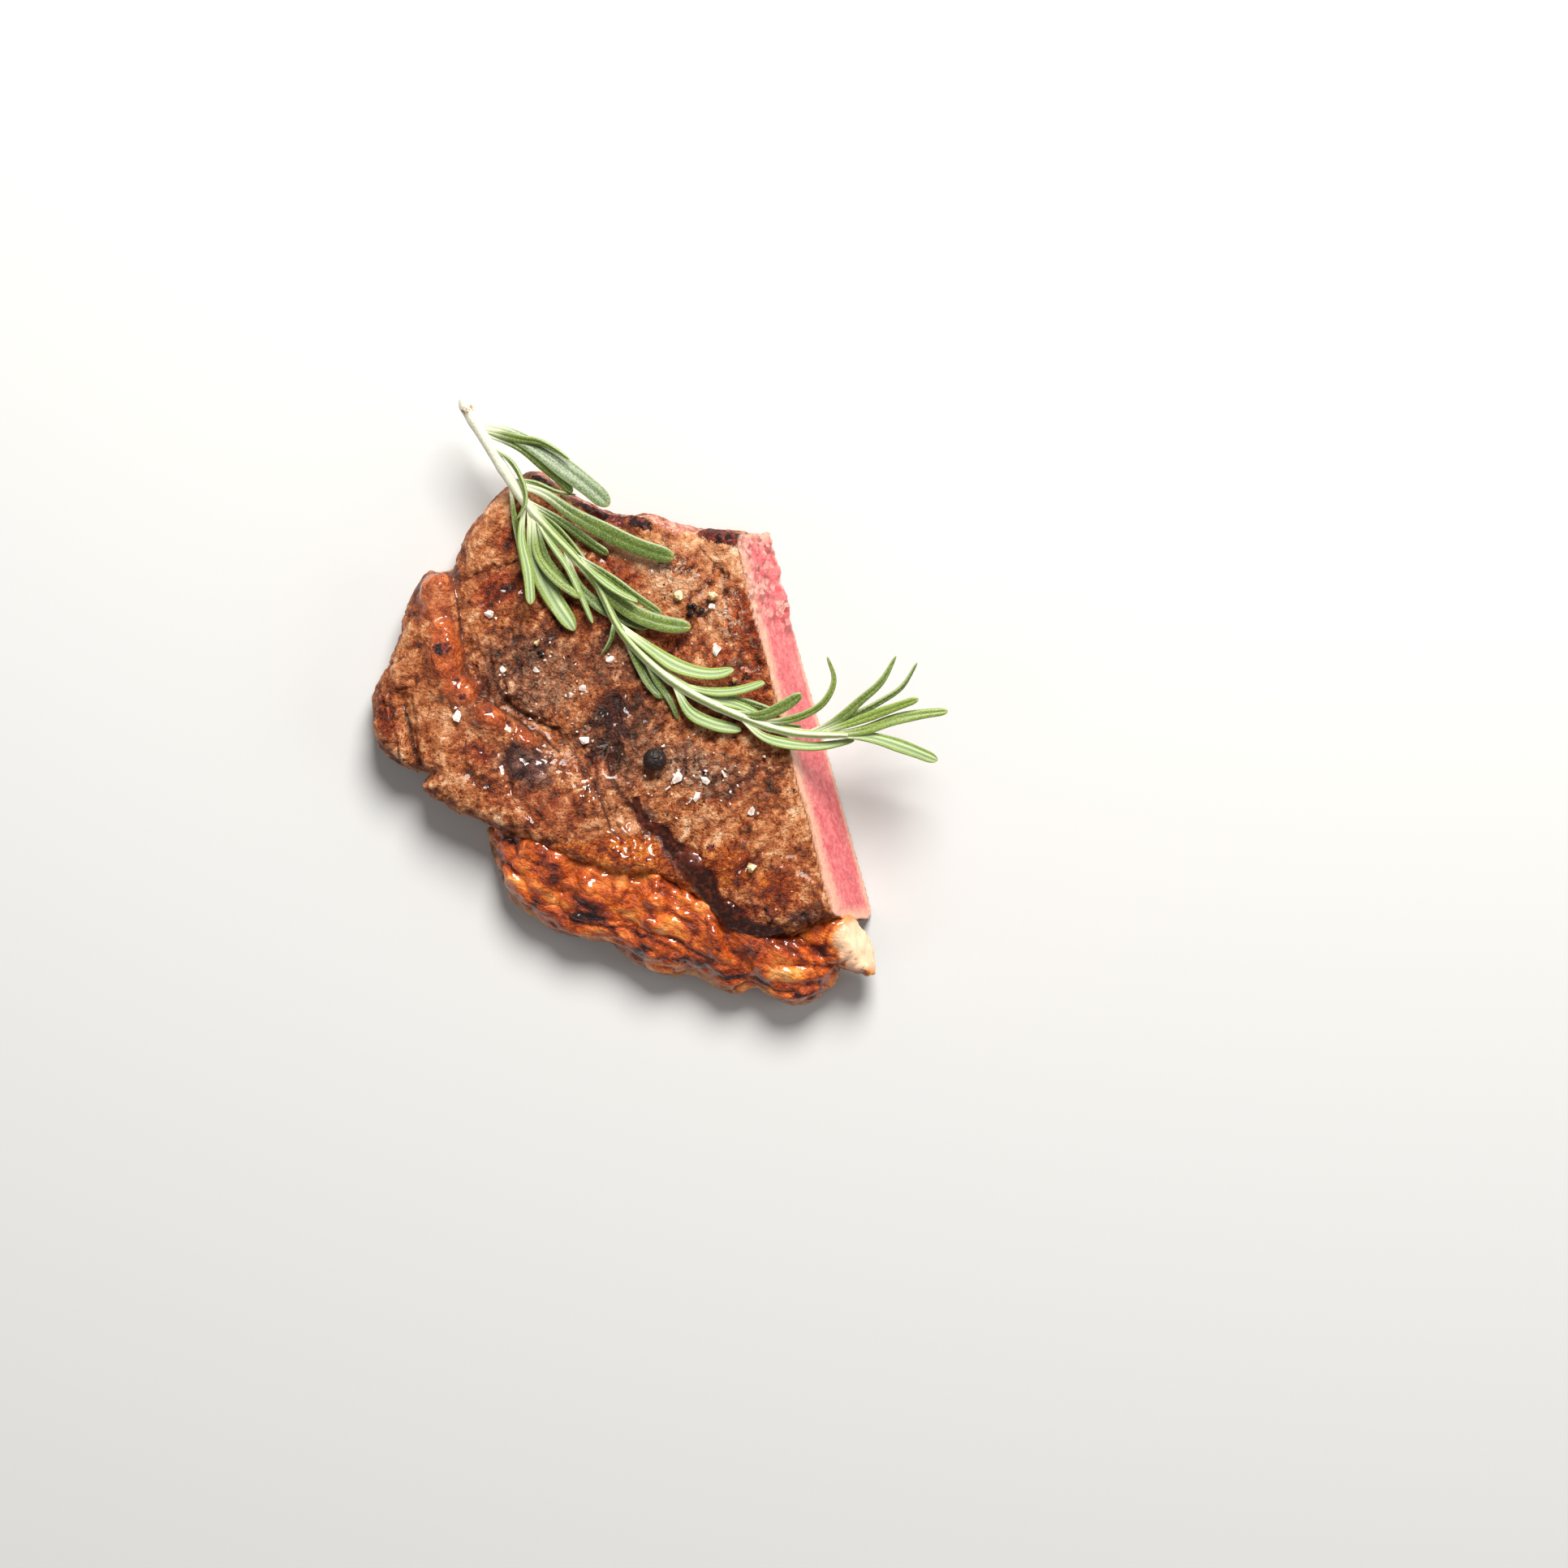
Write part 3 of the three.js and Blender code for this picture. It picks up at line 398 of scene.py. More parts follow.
class StageSettings(bpy.types.PropertyGroup):
    """Floor, lights and camera."""

    floor: colour("Floor", "Colour of the floor", "CFCECC")
    frame_width: FloatProperty(
        name="Frame width", description="What the picture is wide at the meat's top", default=0.34776,
        min=0.1, max=2, subtype="DISTANCE", unit="LENGTH",
    )
    lens: FloatProperty(name="Lens", description="Focal length in millimetres", default=100, min=20, max=300)
    key_light: power("Key light", "Power of the large soft light", 16.5)
    fill_light: power("Fill light", "Power of the light opposite", 2.2)
    side_light: power("Side light", "Power of the light on the cut face", 2.6)


class SteakSettings(bpy.types.PropertyGroup):
    """All settings of the steak."""

    meat: PointerProperty(type=MeatSettings)
    fat: PointerProperty(type=FatSettings)
    herb: PointerProperty(type=HerbSettings)
    seasoning: PointerProperty(type=SeasoningSettings)
    stage: PointerProperty(type=StageSettings)


# ------------------------------------------------------------------------------ lines and noise


CURVE_STEPS = 40
CUT_AXIS = np.array([*CUT_NORMAL, CUT_SLOPE])


def smooth_line(points, count, closed=False):
    """count points evenly spaced along the centripetal Catmull-Rom curve through the given points."""
    knots = np.array(points, float)
    if closed:
        knots = np.vstack([knots[-1], knots, knots[0], knots[1]])
    else:
        knots = np.vstack([2 * knots[0] - knots[1], knots, 2 * knots[-1] - knots[-2]])
    share = np.linspace(0, 1, CURVE_STEPS, endpoint=False)[:, None]
    pieces = []
    for before, start, end, after in zip(knots, knots[1:], knots[2:], knots[3:]):
        spans = ((before, start), (start, end), (end, after))
        gaps = [max(math.sqrt(np.linalg.norm(b - a)), 1e-6) for a, b in spans]
        leave = (start - before) / gaps[0] - (end - before) / (gaps[0] + gaps[1]) + (end - start) / gaps[1]
        arrive = (end - start) / gaps[1] - (after - start) / (gaps[1] + gaps[2]) + (after - end) / gaps[2]
        leave, arrive = leave * gaps[1], arrive * gaps[1]
        cubic = 2 * start - 2 * end + leave + arrive
        square = -3 * start + 3 * end - 2 * leave - arrive
        pieces.append(start + leave * share + square * share**2 + cubic * share**3)
    line = np.vstack([*pieces, knots[-2][None, :]])
    reach = np.concatenate([[0], np.cumsum(np.linalg.norm(np.diff(line, axis=0), axis=1))])
    wanted = np.linspace(0, reach[-1], count, endpoint=not closed)
    return np.stack([np.interp(wanted, reach, line[:, axis]) for axis in range(line.shape[1])], axis=1)


def distance_to_line(places, line, closed=False):
    """How far each plan point is from a broken line."""
    ends = list(zip(line, line[1:])) + ([(line[-1], line[0])] if closed else [])
    nearest = np.full(len(places), np.inf)
    for start, end in ends:
        start, along = np.array(start, float), np.array(end, float) - np.array(start, float)
        share = np.clip((places - start) @ along / (along @ along), 0, 1)
        nearest = np.minimum(nearest, np.linalg.norm(places - start - share[:, None] * along, axis=1))
    return nearest


def ramp(value, low, high):
    """0 below low, 1 above high and smooth between them."""
    share = np.clip((value - low) / (high - low), 0, 1)
    return share * share * (3 - 2 * share)


def cell_value(cells, seed):
    """A fixed random number from -1 to 1 for each whole-number cell."""
    mask = 0xFFFFFFFF
    mixed = (cells @ np.array([374761393, 668265263, 1440662683]) + seed * 974634777) & mask
    mixed = ((mixed ^ (mixed >> 13)) * 1274126177) & mask
    return (mixed ^ (mixed >> 16)) / 2**31 - 1


def noise(places, size, seed=0):
    """Smooth noise from -1 to 1 with bumps of about the given size."""
    scaled = places / size + 17.3 * seed
    cells = np.floor(scaled).astype(np.int64)
    share = scaled - cells
    share = share * share * (3 - 2 * share)
    total = np.zeros(len(places))
    for corner in np.ndindex(2, 2, 2):
        weight = np.prod(np.where(corner, share, 1 - share), axis=1)
        total += weight * cell_value(cells + np.array(corner), seed)
    return total


def cloud(places, size, octaves=3, seed=0):
    """Noise with finer noise on top of it."""
    total = sum(noise(places, size / 2**i, seed + i) / 2**i for i in range(octaves))
    return total / (2 - 2 ** (1 - octaves))


def pebbles(places, size, seed=0):
    """0 in the middle of each of many rounded cells, towards 1 at the creases between them."""
    scaled = places / size
    cells = np.floor(scaled).astype(np.int64)
    nearest = np.full(len(places), 9.0)
    for step in np.ndindex(3, 3, 3):
        cell = cells + np.array(step) - 1
        jitter = np.stack([cell_value(cell, seed + i) for i in range(3)], axis=1)
        nearest = np.minimum(nearest, np.linalg.norm(cell + 0.5 + 0.4 * jitter - scaled, axis=1))
    return np.clip(nearest, 0, 1)


def turned(apart, turn):
    """How far offsets in plan reach along and across a direction, given in degrees."""
    angle = math.radians(turn)
    u = apart[:, 0] * math.cos(angle) + apart[:, 1] * math.sin(angle)
    v = -apart[:, 0] * math.sin(angle) + apart[:, 1] * math.cos(angle)
    return u, v


def patch_share(places, rows, waver, seed):
    """How strongly each plan point lies in a set of soft patches, with wavering borders."""
    spread = np.column_stack([places, np.zeros(len(places))])
    sway = [cloud(spread, 5, 3, seed + offset) for offset in (40, 50)]
    moved = places + waver * np.stack(sway, axis=1)
    share = np.zeros(len(places))
    for x, y, across, along, turn, strength in rows:
        u, v = turned(moved - (x, y), turn)
        u, v = u / across, v / along
        share = np.maximum(share, strength * np.exp(-((u * u + v * v) ** 1.3)))
    return share


def band_share(places, rows, seed):
    """How strongly each plan point lies in a band along a line whose half width changes."""
    spread = np.column_stack([places, np.zeros(len(places))])
    rows = np.array(rows, float)
    nearest = np.full(len(places), np.inf)
    for start, end in zip(rows, rows[1:]):
        along = end[:2] - start[:2]
        share = np.clip((places - start[:2]) @ along / (along @ along), 0, 1)
        reach = np.linalg.norm(places - start[:2] - share[:, None] * along, axis=1)
        nearest = np.minimum(nearest, reach / (start[2] + (end[2] - start[2]) * share))
    return 1 - ramp(nearest + 0.5 * cloud(spread, 4, 3, seed), 0.55, 1.15)


def rolls_height(places):
    """How far the charred rolls stand up at each plan point."""
    height = np.zeros(len(places))
    for x, y, long, wide, turn, rise in CHAR_ROLLS:
        u, v = turned(places - (x, y), turn)
        u, v = u / long, v / wide
        height = height + rise * np.exp(-(u**4) - v * v)
    return height


def streaks(points, turn, long, short, seed):
    """Noise drawn out along a direction in plan."""
    u, v = turned(points, turn)
    return cloud(np.column_stack([u / long, v / short, points[:, 2] / short]), 1, 2, seed)


def steak_shift():
    """From the tables' middle point to the frame's origin, in millimetres."""
    outline = smooth_line(LEAN_OUTLINE, 2000, closed=True)
    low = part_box("lean_meat")[0]
    return np.array([low.x / MM - outline[:, 0].min(), low.y / MM - outline[:, 1].min(), 0])


SHIFT = steak_shift()


def top_height(places):
    """Height of the meat's smooth top over plan points, away from its rounded edge."""
    x, y = places[:, 0], places[:, 1]
    height = THICKNESS + RISE_TOWARDS_CUT * x - RISE_TOWARDS_FAT * y
    height = height + UNEVENNESS * np.sin(x / 6.1 + 1.3) * np.cos(y / 7.7 + 0.4)
    height = height + UNEVENNESS / 2 * np.sin(x / 3.3 - y / 4.1)
    for depth, width, line in GROOVES:
        height = height - depth * np.exp(-((distance_to_line(places, line) / width) ** 2))
    for mid_x, mid_y, across, along, rise in SWELLINGS:
        height = height + rise * np.exp(-(((x - mid_x) / across) ** 2) - ((y - mid_y) / along) ** 2)
    return height


def before_cut(points):
    """How far each point is behind the plane of the cut."""
    return (CUT_DISTANCE - points @ CUT_AXIS) / np.linalg.norm(CUT_AXIS)


def facing_cut(normals):
    """1 where the surface faces the way the plane of the cut does."""
    return normals @ (CUT_AXIS / math.hypot(1, CUT_SLOPE))


# ------------------------------------------------------------------------------ meshes


def mesh_from(name, points, faces):
    """A mesh from points in the tables' millimetres."""
    mesh = bpy.data.meshes.new(name)
    mesh.from_pydata((np.asarray(points) + SHIFT) * MM, [], faces)
    mesh.update()
    return mesh


def loft(rings):
    """Points and faces of a closed body from rings of equal length, its ends closed by fans."""
    count = len(rings[0])
    points = np.vstack([*rings, rings[0].mean(0)[None], rings[-1].mean(0)[None]])
    first, last = len(points) - 2, len(points) - 1
    top = (len(rings) - 1) * count
    faces = []
    for i in range(count):
        after = (i + 1) % count
        faces.append((first, after, i))
        for low in range(0, top, count):
            faces.append((low + i, low + after, low + count + after, low + count + i))
        faces.append((top + i, top + after, last))
    return points, faces


def sliced(mesh):
    """Cuts away what lies beyond the knife's plane and closes the cut."""
    work = bmesh.new()
    work.from_mesh(mesh)
    foot = (np.array([*CUT_NORMAL, 0]) * CUT_DISTANCE + SHIFT) * MM
    normal = Vector(CUT_AXIS).normalized()
    everything = [*work.verts, *work.edges, *work.faces]
    found = bmesh.ops.bisect_plane(work, geom=everything, plane_co=foot, plane_no=normal, clear_outer=True)
    rim = [part for part in found["geom_cut"] if isinstance(part, bmesh.types.BMEdge)]
    bmesh.ops.holes_fill(work, edges=rim, sides=0)
    bmesh.ops.triangulate(work, faces=work.faces[:])
    work.to_mesh(mesh)
    work.free()
    return mesh


def even_mesh(name, meshes, size):
    """One object whose skin is an even mesh round all the given meshes."""
    work = bmesh.new()
    for mesh in meshes:
        work.from_mesh(mesh)
        bpy.data.meshes.remove(mesh)
    joined = bpy.data.meshes.new(name)
    work.to_mesh(joined)
    work.free()
    rough = bpy.data.objects.new(name, joined)
    bpy.context.scene.collection.objects.link(rough)
    remesh = rough.modifiers.new("Even", "REMESH")
    remesh.mode = "VOXEL"
    remesh.voxel_size = size
    settled = rough.evaluated_get(bpy.context.evaluated_depsgraph_get())
    rough_mesh = rough.data
    rough.data = bpy.data.meshes.new_from_object(settled)
    rough.data.name = name
    rough.modifiers.clear()
    bpy.data.meshes.remove(rough_mesh)
    return rough


def corner_points(mesh):
    """A mesh's corners in the tables' millimetres."""
    points = np.empty(len(mesh.vertices) * 3)
    mesh.vertices.foreach_get("co", points)
    return points.reshape(-1, 3) / MM - SHIFT


def corner_normals(mesh):
    """The way each corner faces."""
    normals = np.empty(len(mesh.vertices) * 3, np.float32)
    mesh.vertex_normals.foreach_get("vector", normals)
    return normals.reshape(-1, 3).astype(float)


def move_corners(mesh, points):
    """Puts a mesh's corners at points in millimetres, none of them below the floor."""
    points = points.copy()
    points[:, 2] = np.maximum(points[:, 2], 0)
    mesh.vertices.foreach_set("co", ((points + SHIFT) * MM).astype(np.float32).ravel())
    mesh.update()


def relax(mesh, rounds):
    """Averages each corner with its neighbours, which takes away the steps of an even mesh."""
    edges = np.empty(len(mesh.edges) * 2, np.int32)
    mesh.edges.foreach_get("vertices", edges)
    edges = edges.reshape(-1, 2)
    points = corner_points(mesh)
    degree = np.bincount(edges.ravel(), minlength=len(points))[:, None]
    for _ in range(rounds):
        total = np.zeros_like(points)
        for axis in range(3):
            total[:, axis] = np.bincount(edges[:, 0], points[edges[:, 1], axis], len(points))
            total[:, axis] += np.bincount(edges[:, 1], points[edges[:, 0], axis], len(points))
        points = 0.5 * points + 0.5 * total / np.maximum(degree, 1)
    move_corners(mesh, points)


def keep(mesh, name, values):
    """Stores one number for each corner, for the material to read."""
    mesh.attributes.new(name, "FLOAT", "POINT").data.foreach_set("value", values.astype(np.float32))


# The relief fades out between these heights, so that the underside stays flat.
FOOT = (0.2, 1.5)


def dress(piece, points, normals, masks, relief):
    """Moves a skin out by its relief, and stores its masks for the material."""
    relief = relief * ramp(points[:, 2], *FOOT)
    move_corners(piece.data, points + normals * relief[:, None])
    for name, values in masks.items():
        keep(piece.data, name, values)


def put(piece, slot, *nodes, material):
    """Finishes a piece: smooth shading, material, the body it rides on, and hides the model's parts that it
    stands for.
    """
    piece.data.shade_smooth()
    piece.data.materials.clear()
    piece.data.materials.append(material)
    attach(piece, "root")
    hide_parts(*nodes)
    return piece


# ------------------------------------------------------------------------------ shader maths


class Wire:
    """A shader output that can be used in sums and products."""

    def __init__(self, paint, socket):
        self.paint = paint
        self.socket = socket

    def _with(self, operation, first, second):
        return self.paint.node("ShaderNodeMath", {"operation": operation}, {0: first, 1: second})

    def __add__(self, other):
        return self._with("ADD", self, other)

    __radd__ = __add__

    def __sub__(self, other):
        return self._with("SUBTRACT", self, other)

    def __rsub__(self, other):
        return self._with("SUBTRACT", other, self)

    def __mul__(self, other):
        return self._with("MULTIPLY", self, other)

    __rmul__ = __mul__

    def between(self, low, high):
        """0 below low, 1 above high and smooth between them."""
        return self.paint.node(
            "ShaderNodeMapRange", {"interpolation_type": "SMOOTHSTEP"}, {"Value": self, 1: low, 2: high}
        )


def stirred(base, *noises):
    """A value with noises that swing round 0.5 added, each with its strength."""
    for strength, noise_wire in noises:
        base = base + strength * (noise_wire - 0.5)
    return base


def set_stops(colour_ramp, stops):
    """Gives a colour ramp its stops: a place from 0 to 1 and six hex digits each."""
    while len(colour_ramp.elements) < len(stops):
        colour_ramp.elements.new(0.5)
    for element, (place, code) in zip(colour_ramp.elements, stops):
        element.position = place
        element.color = (*linear(code), 1)


class Paint:
    """A material and the nodes in it."""

    def __init__(self, name):
        self.material = bpy.data.materials.new(name)
        self.material.use_nodes = True
        self.tree = self.material.node_tree
        self.shader = self.tree.nodes["Principled BSDF"]
        self.place = self.node("ShaderNodeTexCoord", outlet="Object")

    def node(self, kind, settings=None, sockets=None, outlet=0):
        """Adds a node, sets it up, then fills its sockets with values or wires."""
        made = self.tree.nodes.new(kind)
        for name, value in (settings or {}).items():
            if name == "stops":
                set_stops(made.color_ramp, value)
            else:
                setattr(made, name, value)
        for key, value in (sockets or {}).items():
            self.fill(made.inputs[key], value)
        return Wire(self, made.outputs[outlet])

    def fill(self, socket, value):
        """Gives a socket a wire, a colour or a number."""
        if isinstance(value, Wire):
            self.tree.links.new(value.socket, socket)
        elif socket.type == "RGBA":
            socket.default_value = (*value[:3], 1)
        else:
            socket.default_value = value

    def finish(self, **sockets):
        """Fills the surface shader's sockets, named with underscores for spaces."""
        for name, value in sockets.items():
            self.fill(self.shader.inputs[name.replace("_", " ")], value)
        return self.material

    def mix(self, share, first, second, blend="MIX"):
        """A colour between two others."""
        settings = {"data_type": "RGBA", "blend_type": blend}
        return self.node("ShaderNodeMix", settings, {0: share, 6: first, 7: second}, 2)

    def mask(self, name):
        """A number that was stored for each corner."""
        return self.node("ShaderNodeAttribute", {"attribute_name": name}, outlet="Fac")

    def shades(self, share, *stops):
        """A colour that runs through the given stops."""
        return self.node("ShaderNodeValToRGB", {"stops": stops}, {"Fac": share})

    def grain(self, size, detail=2.0, roughness=0.5, turn=0.0, long=1.0, warp=0.0):
        """Noise from 0 to 1 with bumps of the given size in millimetres, drawn out along a direction."""
        place = self.place
        if long != 1:
            place = self.node(
                "ShaderNodeMapping", {"vector_type": "TEXTURE"},
                {"Vector": place, "Rotation": (0, 0, math.radians(turn)), "Scale": (long, 1, 1)},
            )
        sockets = {"Scale": MM_IN_METRE / size, "Detail": detail, "Roughness": roughness, "Distortion": warp}
        return self.node("ShaderNodeTexNoise", {}, {"Vector": place, **sockets})

    def bent(self, size, reach):
        """The place shifted about by up to reach millimetres, so that a pattern isn't regular."""
        sockets = {"Vector": self.place, "Scale": MM_IN_METRE / size}
        drift = self.node("ShaderNodeTexNoise", {}, sockets, outlet="Color")
        sockets = {0: drift, 1: (reach * MM,) * 3, 2: self.place}
        return self.node("ShaderNodeVectorMath", {"operation": "MULTIPLY_ADD"}, sockets)

    def cells(self, place, size, outlet="Distance"):
        """Scattered cells: 0 in the middle of each towards 1 between them, or a random tone for each."""
        sockets = {"Vector": place, "Scale": MM_IN_METRE / size}
        return self.node("ShaderNodeTexVoronoi", {}, sockets, outlet=outlet)

    def bump(self, height, depth, strength=1.0):
        """A normal from a height between 0 and 1, depth millimetres deep."""
        sockets = {"Strength": strength, "Distance": depth * MM, "Height": height}
        return self.node("ShaderNodeBump", {}, sockets)


# ------------------------------------------------------------------------------ lean meat


def lean_rings(columns, side_steps, top_steps):
    """Rings of the uncut meat from its bottom edge, round its side, to the middle of its top."""
    centre = np.array(LEAN_CENTRE, float)
    edge = smooth_line(LEAN_OUTLINE, columns, closed=True)[::-1]
    profile = smooth_line(EDGE_PROFILE, side_steps)
    apart = edge - centre
    reach = np.linalg.norm(apart, axis=1)[:, None]
    rings = []
    for inset, share in profile:
        places = centre + apart * (reach - inset) / reach
        rings.append(np.column_stack([places, share * top_height(places)]))
    last_inset, last_share = profile[-1]
    for step in range(1, top_steps):
        t = step / top_steps
        places = centre + apart * (reach - last_inset - (reach - last_inset) * t) / reach
        share = last_share + (1 - last_share) * min(1, 6 * t)
        rings.append(np.column_stack([places, share * top_height(places)]))
    return rings


def lean_masks(points, normals):
    """Numbers from 0 to 1 that say what the meat is like at each point."""
    places = points[:, :2]
    cut_depth = before_cut(points)
    flesh = ramp(facing_cut(normals), 0.72, 0.9) * (1 - ramp(cut_depth, 0.6, 1.2))
    under_top = top_height(places) - points[:, 2]
    to_edge = distance_to_line(places, LEAN_OUTLINE, closed=True)
    rim = np.minimum(np.minimum(under_top, points[:, 2] * 2.2), 1.6 * to_edge + 1.2)
    crust = ramp(normals[:, 2], 0.1, 0.55) * (1 - flesh)
    mask = {
        name: patch_share(places, rows, 0.7 if name in ("bulge", "char") else 2.4, seed) * crust
        for seed, (name, rows) in enumerate(PATCHES.items(), 1)
        if name != "bare"
    }
    burst = np.zeros(len(points))
    for x, y, reach in CHAR_BURSTS:
        away = np.linalg.norm(places - (x, y), axis=1) / reach
        burst = np.maximum(burst, 1.2 - away)
    mask["char"] = np.clip(mask["char"] + np.clip(burst, 0, 1) * crust, 0, 1)
    upper = ramp(points[:, 2] + 3 * cloud(points, 4, 2, 6), 6, 12)
    standing = (1 - flesh) * (1 - ramp(normals[:, 2], 0.6, 0.95)) * upper
    mask["bare"] = patch_share(places, PATCHES["bare"], 1.0, 9) * standing
    seams = [
        strength * np.exp(-((distance_to_line(places, line) / wide) ** 2))
        for wide, strength, line in SEAMS
    ]
    mask["seam"] = np.max(seams, axis=0) * crust
    mask["flesh"] = flesh
    mask["rim"] = np.clip(rim / (8 + 4 * ramp(-places[:, 1], 28, 46)), 0, 1)
    mask["side"] = (1 - ramp(np.abs(normals[:, 2]), 0.3, 0.7)) * (1 - flesh)
    mask["sauce"] = band_share(places, SAUCE_BAND, 21) * crust
    gold = band_share(places, GOLD_BAND, 22) * (1 - flesh)
    mask["gold"] = gold * ramp(points[:, 2], 5, 9) * (1 - mask["sauce"])
    mask["edge"] = (1 - ramp(cut_depth + 0.6 * cloud(points, 3, 2, 5), 0.3, 1.6)) * crust
    mask["wet"] = np.clip(mask["wet"] + 0.8 * mask["bulge"] + mask["sauce"] + mask["gold"], 0, 1)
    return mask


def lean_relief(points, mask):
    """How far the surface stands out at each point in millimetres, and how deep in a pit or crease it is, for
    painted shade there.

    The masks for its lines, brims and torn places are added on the way.
    """
    places = points[:, :2]
    smooth = np.clip(0.7 * mask["bulge"] + mask["sauce"] + 0.3 * mask["gold"], 0, 1)
    crust = (1 - smooth) * (1 - mask["flesh"]) * (1 - 0.6 * mask["side"])
    bent = points + 0.6 * np.stack([cloud(points, 2.0, 2, seed) for seed in (61, 62, 63)], axis=1)
    pits = ramp(pebbles(bent, 1.6, 13), 0.4, 0.85) * (0.4 + 0.6 * ramp(noise(points, 3.5, 64), -0.4, 0.5))
    creases = np.clip(1 - np.abs(cloud(bent, 6.5, 3, 14)) * 9, 0, 1) * ramp(noise(points, 8, 69), -0.5, 0.2)
    veins = np.clip(1 - np.abs(cloud(bent, 3.2, 2, 65)) * 6, 0, 1) * ramp(noise(points, 9, 66), -0.2, 0.4)
    column = ramp(-points[:, 0], 38, 42)
    lines = column * streaks(points, 100, 8, 1.6, 67) + (1 - column) * streaks(points, 38, 5, 1.5, 68)
    wrinkles = streaks(points, 20, 3.2, 1.1, 73)
    relief = 0.4 * cloud(points, 5, 2, 11) + 0.34 * cloud(points, 1.9, 3, 12) + (0.34 + 0.3 * column) * lines
    relief = relief + 0.4 * mask["bulge"] * wrinkles + 0.4 * mask["gold"] * streaks(points, -38, 4, 1.4, 75)
    mask["lines"] = np.clip(0.5 + 0.9 * lines, 0, 1)
    mask["brim"] = np.clip(4.5 * mask["bulge"] * (0.72 - mask["bulge"]), 0, 1)
    calm = 1 - 0.55 * mask["tan"]
    relief = relief - crust * 0.5 * calm * pits - calm * (1 - 0.7 * smooth) * (0.5 * creases + 0.34 * veins)
    flesh = mask["flesh"]
    fibres = streaks(points * (1, 1, 0.7), 106, 1.2, 2.6, 15)
    far_end = ramp(points[:, 1] + 3 * cloud(points, 6, 2, 77), 8, 26)
    torn = far_end * np.abs(cloud(points, 2.4, 2, 70)) * 1.3
    torn = torn - 0.35 * ramp(pebbles(bent, 1.7, 71), 0.4, 0.8) * far_end
    crumbs = far_end * (1 - ramp(points[:, 2], 2, 8)) * np.clip(1.8 * cloud(points, 3.0, 2, 16) + 1.0, 0, 2.2)
    mask["torn"] = flesh * far_end * np.clip(0.5 + 1.2 * cloud(points, 2.0, 3, 72), 0, 1)
    relief = relief * (1 - flesh) * (1 - 0.5 * mask["edge"]) + flesh * (0.12 * fibres + torn + crumbs)
    relief = relief + rolls_height(places) * (1 - flesh) * ramp(points[:, 2], 9, 13)
    relief = relief + 0.8 * ramp(mask["bulge"], 0.2, 1.0) * (1 - mask["seam"]) - 0.15 * mask["brim"]
    relief = relief + mask["sauce"] * (0.5 * mask["mauve"] + 0.5 * cloud(points, 2.6, 2, 76))
    relief = relief - 0.4 * mask["char"] * np.clip(cloud(points, 1.2, 2, 17) + 0.3, 0, 1)
    relief = relief - 0.6 * mask["seam"] * ramp(noise(points, 3, 74), -0.5, 0.2)
    # How deep each point lies in a pit or crease; the material darkens it there as painted shade.
    pit = np.clip(0.8 * pits * crust + 0.9 * creases + 0.6 * veins, 0, 1) * (1 - flesh) * calm
    return relief, pit


